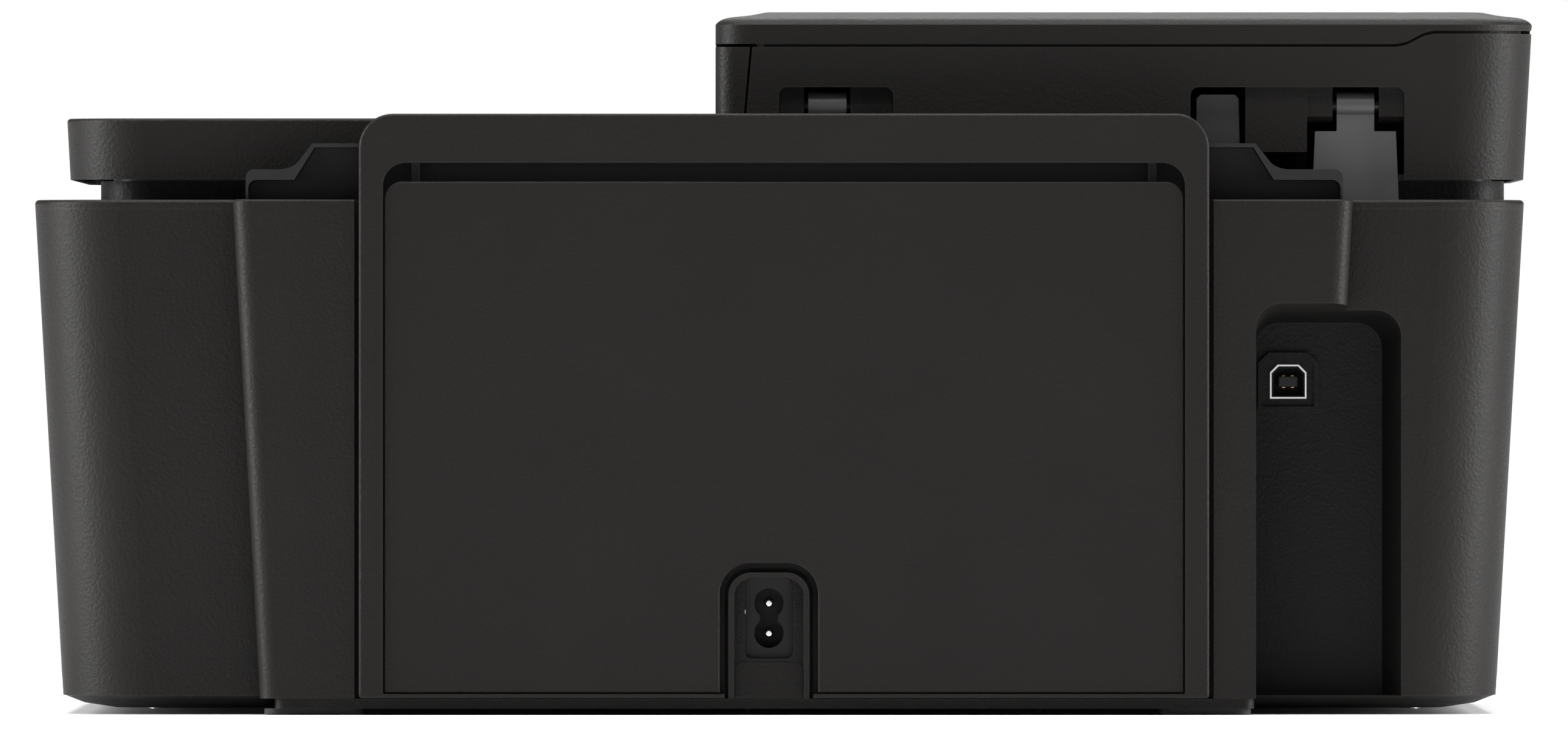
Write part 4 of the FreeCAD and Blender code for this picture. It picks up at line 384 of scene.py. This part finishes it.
def makePanelMarks():
    v = panelMarks
    for name in ("button_copy", "button_cancel", "button_power"):
        low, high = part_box(name)
        x, y, z = (low[0] + high[0]) / 2, (low[1] + high[1]) / 2, high[2] + v["lift"]
        marks = bmesh.new()
        if name == "button_power":
            ringMark(marks, x, y, z, v["ring"], v["line"], v["powerArc"])
            plate(marks, [(x - v["line"] / 2, y), (x + v["line"] / 2, y), (x + v["line"] / 2, y + v["ring"]),
                          (x - v["line"] / 2, y + v["ring"])], z - v["lift"] / 2, z, "Z")
        elif name == "button_cancel":
            for turn in (45, 135):
                cosT, sinT = math.cos(math.radians(turn)), math.sin(math.radians(turn))
                reach, half = v["ring"], v["line"] / 2
                plate(marks, [(x + a * cosT * reach - b * sinT * half, y + a * sinT * reach + b * cosT * half)
                              for a, b in ((-1, -1), (1, -1), (1, 1), (-1, 1))], z - v["lift"] / 2, z, "Z")
        else:
            halfX, halfY = v["sheetHalf"]
            for shift in (0.0, v["sheetShift"]):  # two sheets, each drawn as four thin bars
                for x0, y0, x1, y1 in sheetBars:
                    plate(marks, [(x + shift + a * halfX, y - shift + b * halfY)
                                  for a, b in ((x0, y0), (x1, y0), (x1, y1), (x0, y1))],
                          z - v["lift"] / 2, z, "Z")
        finishPiece(marks, name.replace("button_", "mark_"), name, "markInk")
    low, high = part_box("display_window")
    lit = bmesh.new()
    x0, x1, y0, y1, z = low[0], high[0], low[1], high[1], high[2] + v["lift"]
    wide, deep = x1 - x0, y1 - y0
    left = x0 + wide * v["barLeft"]
    for row in range(v["barRows"]):
        right = x0 + wide * (v["barRight"] - v["barShorter"] * row)
        top = y1 - deep * (v["barTop"] + v["barStep"] * row)
        foot = top - deep * v["barHigh"]
        plate(lit, [(left, foot), (right, foot), (right, top), (left, top)], z - v["lift"] / 2, z, "Z")
    finishPiece(lit, "displaySegments", "body", "markInk")


makePanelMarks()
print("panel marks done")


# ---- inside: encoder strip behind the carriage

insideWiring = {  # user-changeable: metres
    "stripHigh": 0.006, "stripThick": 0.0002, "stripBack": 0.0166, "stripDown": 0.012, "stripEnds": 0.006,
}


def makeInside():
    v = insideWiring
    low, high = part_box("print_frame")
    bm = bmesh.new()
    y, z = high[1] - v["stripBack"], high[2] - v["stripDown"]
    block(bm, (low[0] + v["stripEnds"], y, z - v["stripHigh"] / 2),
          (high[0] - v["stripEnds"], y + v["stripThick"], z + v["stripHigh"] / 2))
    finishPiece(bm, "encoderStrip", "body", "stripFilm")


makeInside()
print("inside done")


# ---- studio

studio = {  # user-changeable: distances in metres, power in watts
    "floorSize": 1.8, "floorDrop": 0.0002, "floorTone": 0.88, "worldTone": 0.07, "worldPower": 1.0,
    "bandTone": 1.0, "bandInner": 0.03, "bandOuter": 0.08,
    "cameraAway": 8.674, "cameraReach": 80.0, "cameraLens": 700.0, "cameraHeight": 0.0996, "sensor": 36.0,
    "lights": {
        "topSoftbox": {"at": (0.0, 0.0, 1.9), "aim": (0.0, 0.0, 0.1), "size": (2.0, 1.6), "power": 46.0},
        "leftStrip": {"at": (1.6, 0.35, 0.5), "aim": (0.15, 0.1, 0.1), "size": (0.35, 1.2), "power": 46.0},
        "rightStrip": {"at": (-1.6, 0.35, 0.5), "aim": (-0.15, 0.1, 0.1), "size": (0.35, 1.2), "power": 46.0},
        "rearFill": {"at": (0.3, 1.15, 2.2), "aim": (0.0, 0.15, 0.15), "size": (1.6, 0.5), "power": 30.0},
        "frontFill": {"at": (-0.25, -2.4, 1.9), "aim": (0.0, -0.1, 0.1), "size": (1.8, 1.0), "power": 30.0},
    },
}


def buildStudio():
    bm = bmesh.new()
    bmesh.ops.create_grid(bm, x_segments=2, y_segments=2, size=studio["floorSize"] / 2)
    bmesh.ops.translate(bm, verts=bm.verts, vec=(0, 0, -studio["floorDrop"]))
    mesh = bpy.data.meshes.new("studioFloor")
    bm.to_mesh(mesh)
    bm.free()
    floor = bpy.data.objects.new("studioFloor", mesh)
    bpy.context.scene.collection.objects.link(floor)
    paper, tree, shader = newTree("studioPaper")
    place = addNode(tree, "ShaderNodeTexCoord").outputs["Object"]
    fibre = noiseAt(tree, place, 0.01, 3.0)
    grey = (studio["floorTone"],) * 3
    tree.links.new(tone(tree, fibre.outputs["Fac"], scaled(grey, 0.98), grey), shader.inputs["Base Color"])
    shader.inputs["Roughness"].default_value = 0.9
    mesh.materials.append(paper)
    world = bpy.data.worlds.new("studioWorld")
    bpy.context.scene.world = world
    world.use_nodes = True
    sky = world.node_tree
    backdrop = sky.nodes["Background"]
    way = addNode(sky, "ShaderNodeTexCoord").outputs["Generated"]
    parts = addNode(sky, "ShaderNodeSeparateXYZ", {"Vector": way})
    # white up to eye height, dim above
    glow = spread(sky, parts.outputs["Z"], 1.0, 0.0, studio["bandInner"], studio["bandOuter"])
    sky.links.new(tone(sky, glow, (studio["worldTone"],) * 3, (studio["bandTone"],) * 3),
                  backdrop.inputs["Color"])
    backdrop.inputs["Strength"].default_value = studio["worldPower"]
    for name, v in studio["lights"].items():
        lamp = bpy.data.lights.new(name, "AREA")
        lamp.shape = "RECTANGLE"
        lamp.size, lamp.size_y = v["size"]
        lamp.energy = v["power"]
        holder = bpy.data.objects.new(name, lamp)
        holder.location = v["at"]
        toAim = Vector(v["aim"]) - Vector(v["at"])
        holder.rotation_euler = toAim.to_track_quat("-Z", "Y").to_euler()
        bpy.context.scene.collection.objects.link(holder)


def placeCamera():
    camera = bpy.data.objects.new("camera", bpy.data.cameras.new("camera"))
    bpy.context.scene.collection.objects.link(camera)
    back = cadBounds[1][1]
    camera.location = (0, back + studio["cameraAway"], studio["cameraHeight"])
    camera.rotation_euler = (math.radians(90), 0, math.radians(180))
    camera.data.lens = studio["cameraLens"]
    camera.data.sensor_width = studio["sensor"]
    camera.data.clip_end = studio["cameraReach"]
    bpy.context.scene.camera = camera


buildStudio()
placeCamera()
bpy.context.scene.view_settings.view_transform = "Standard"
print("studio and camera in place")
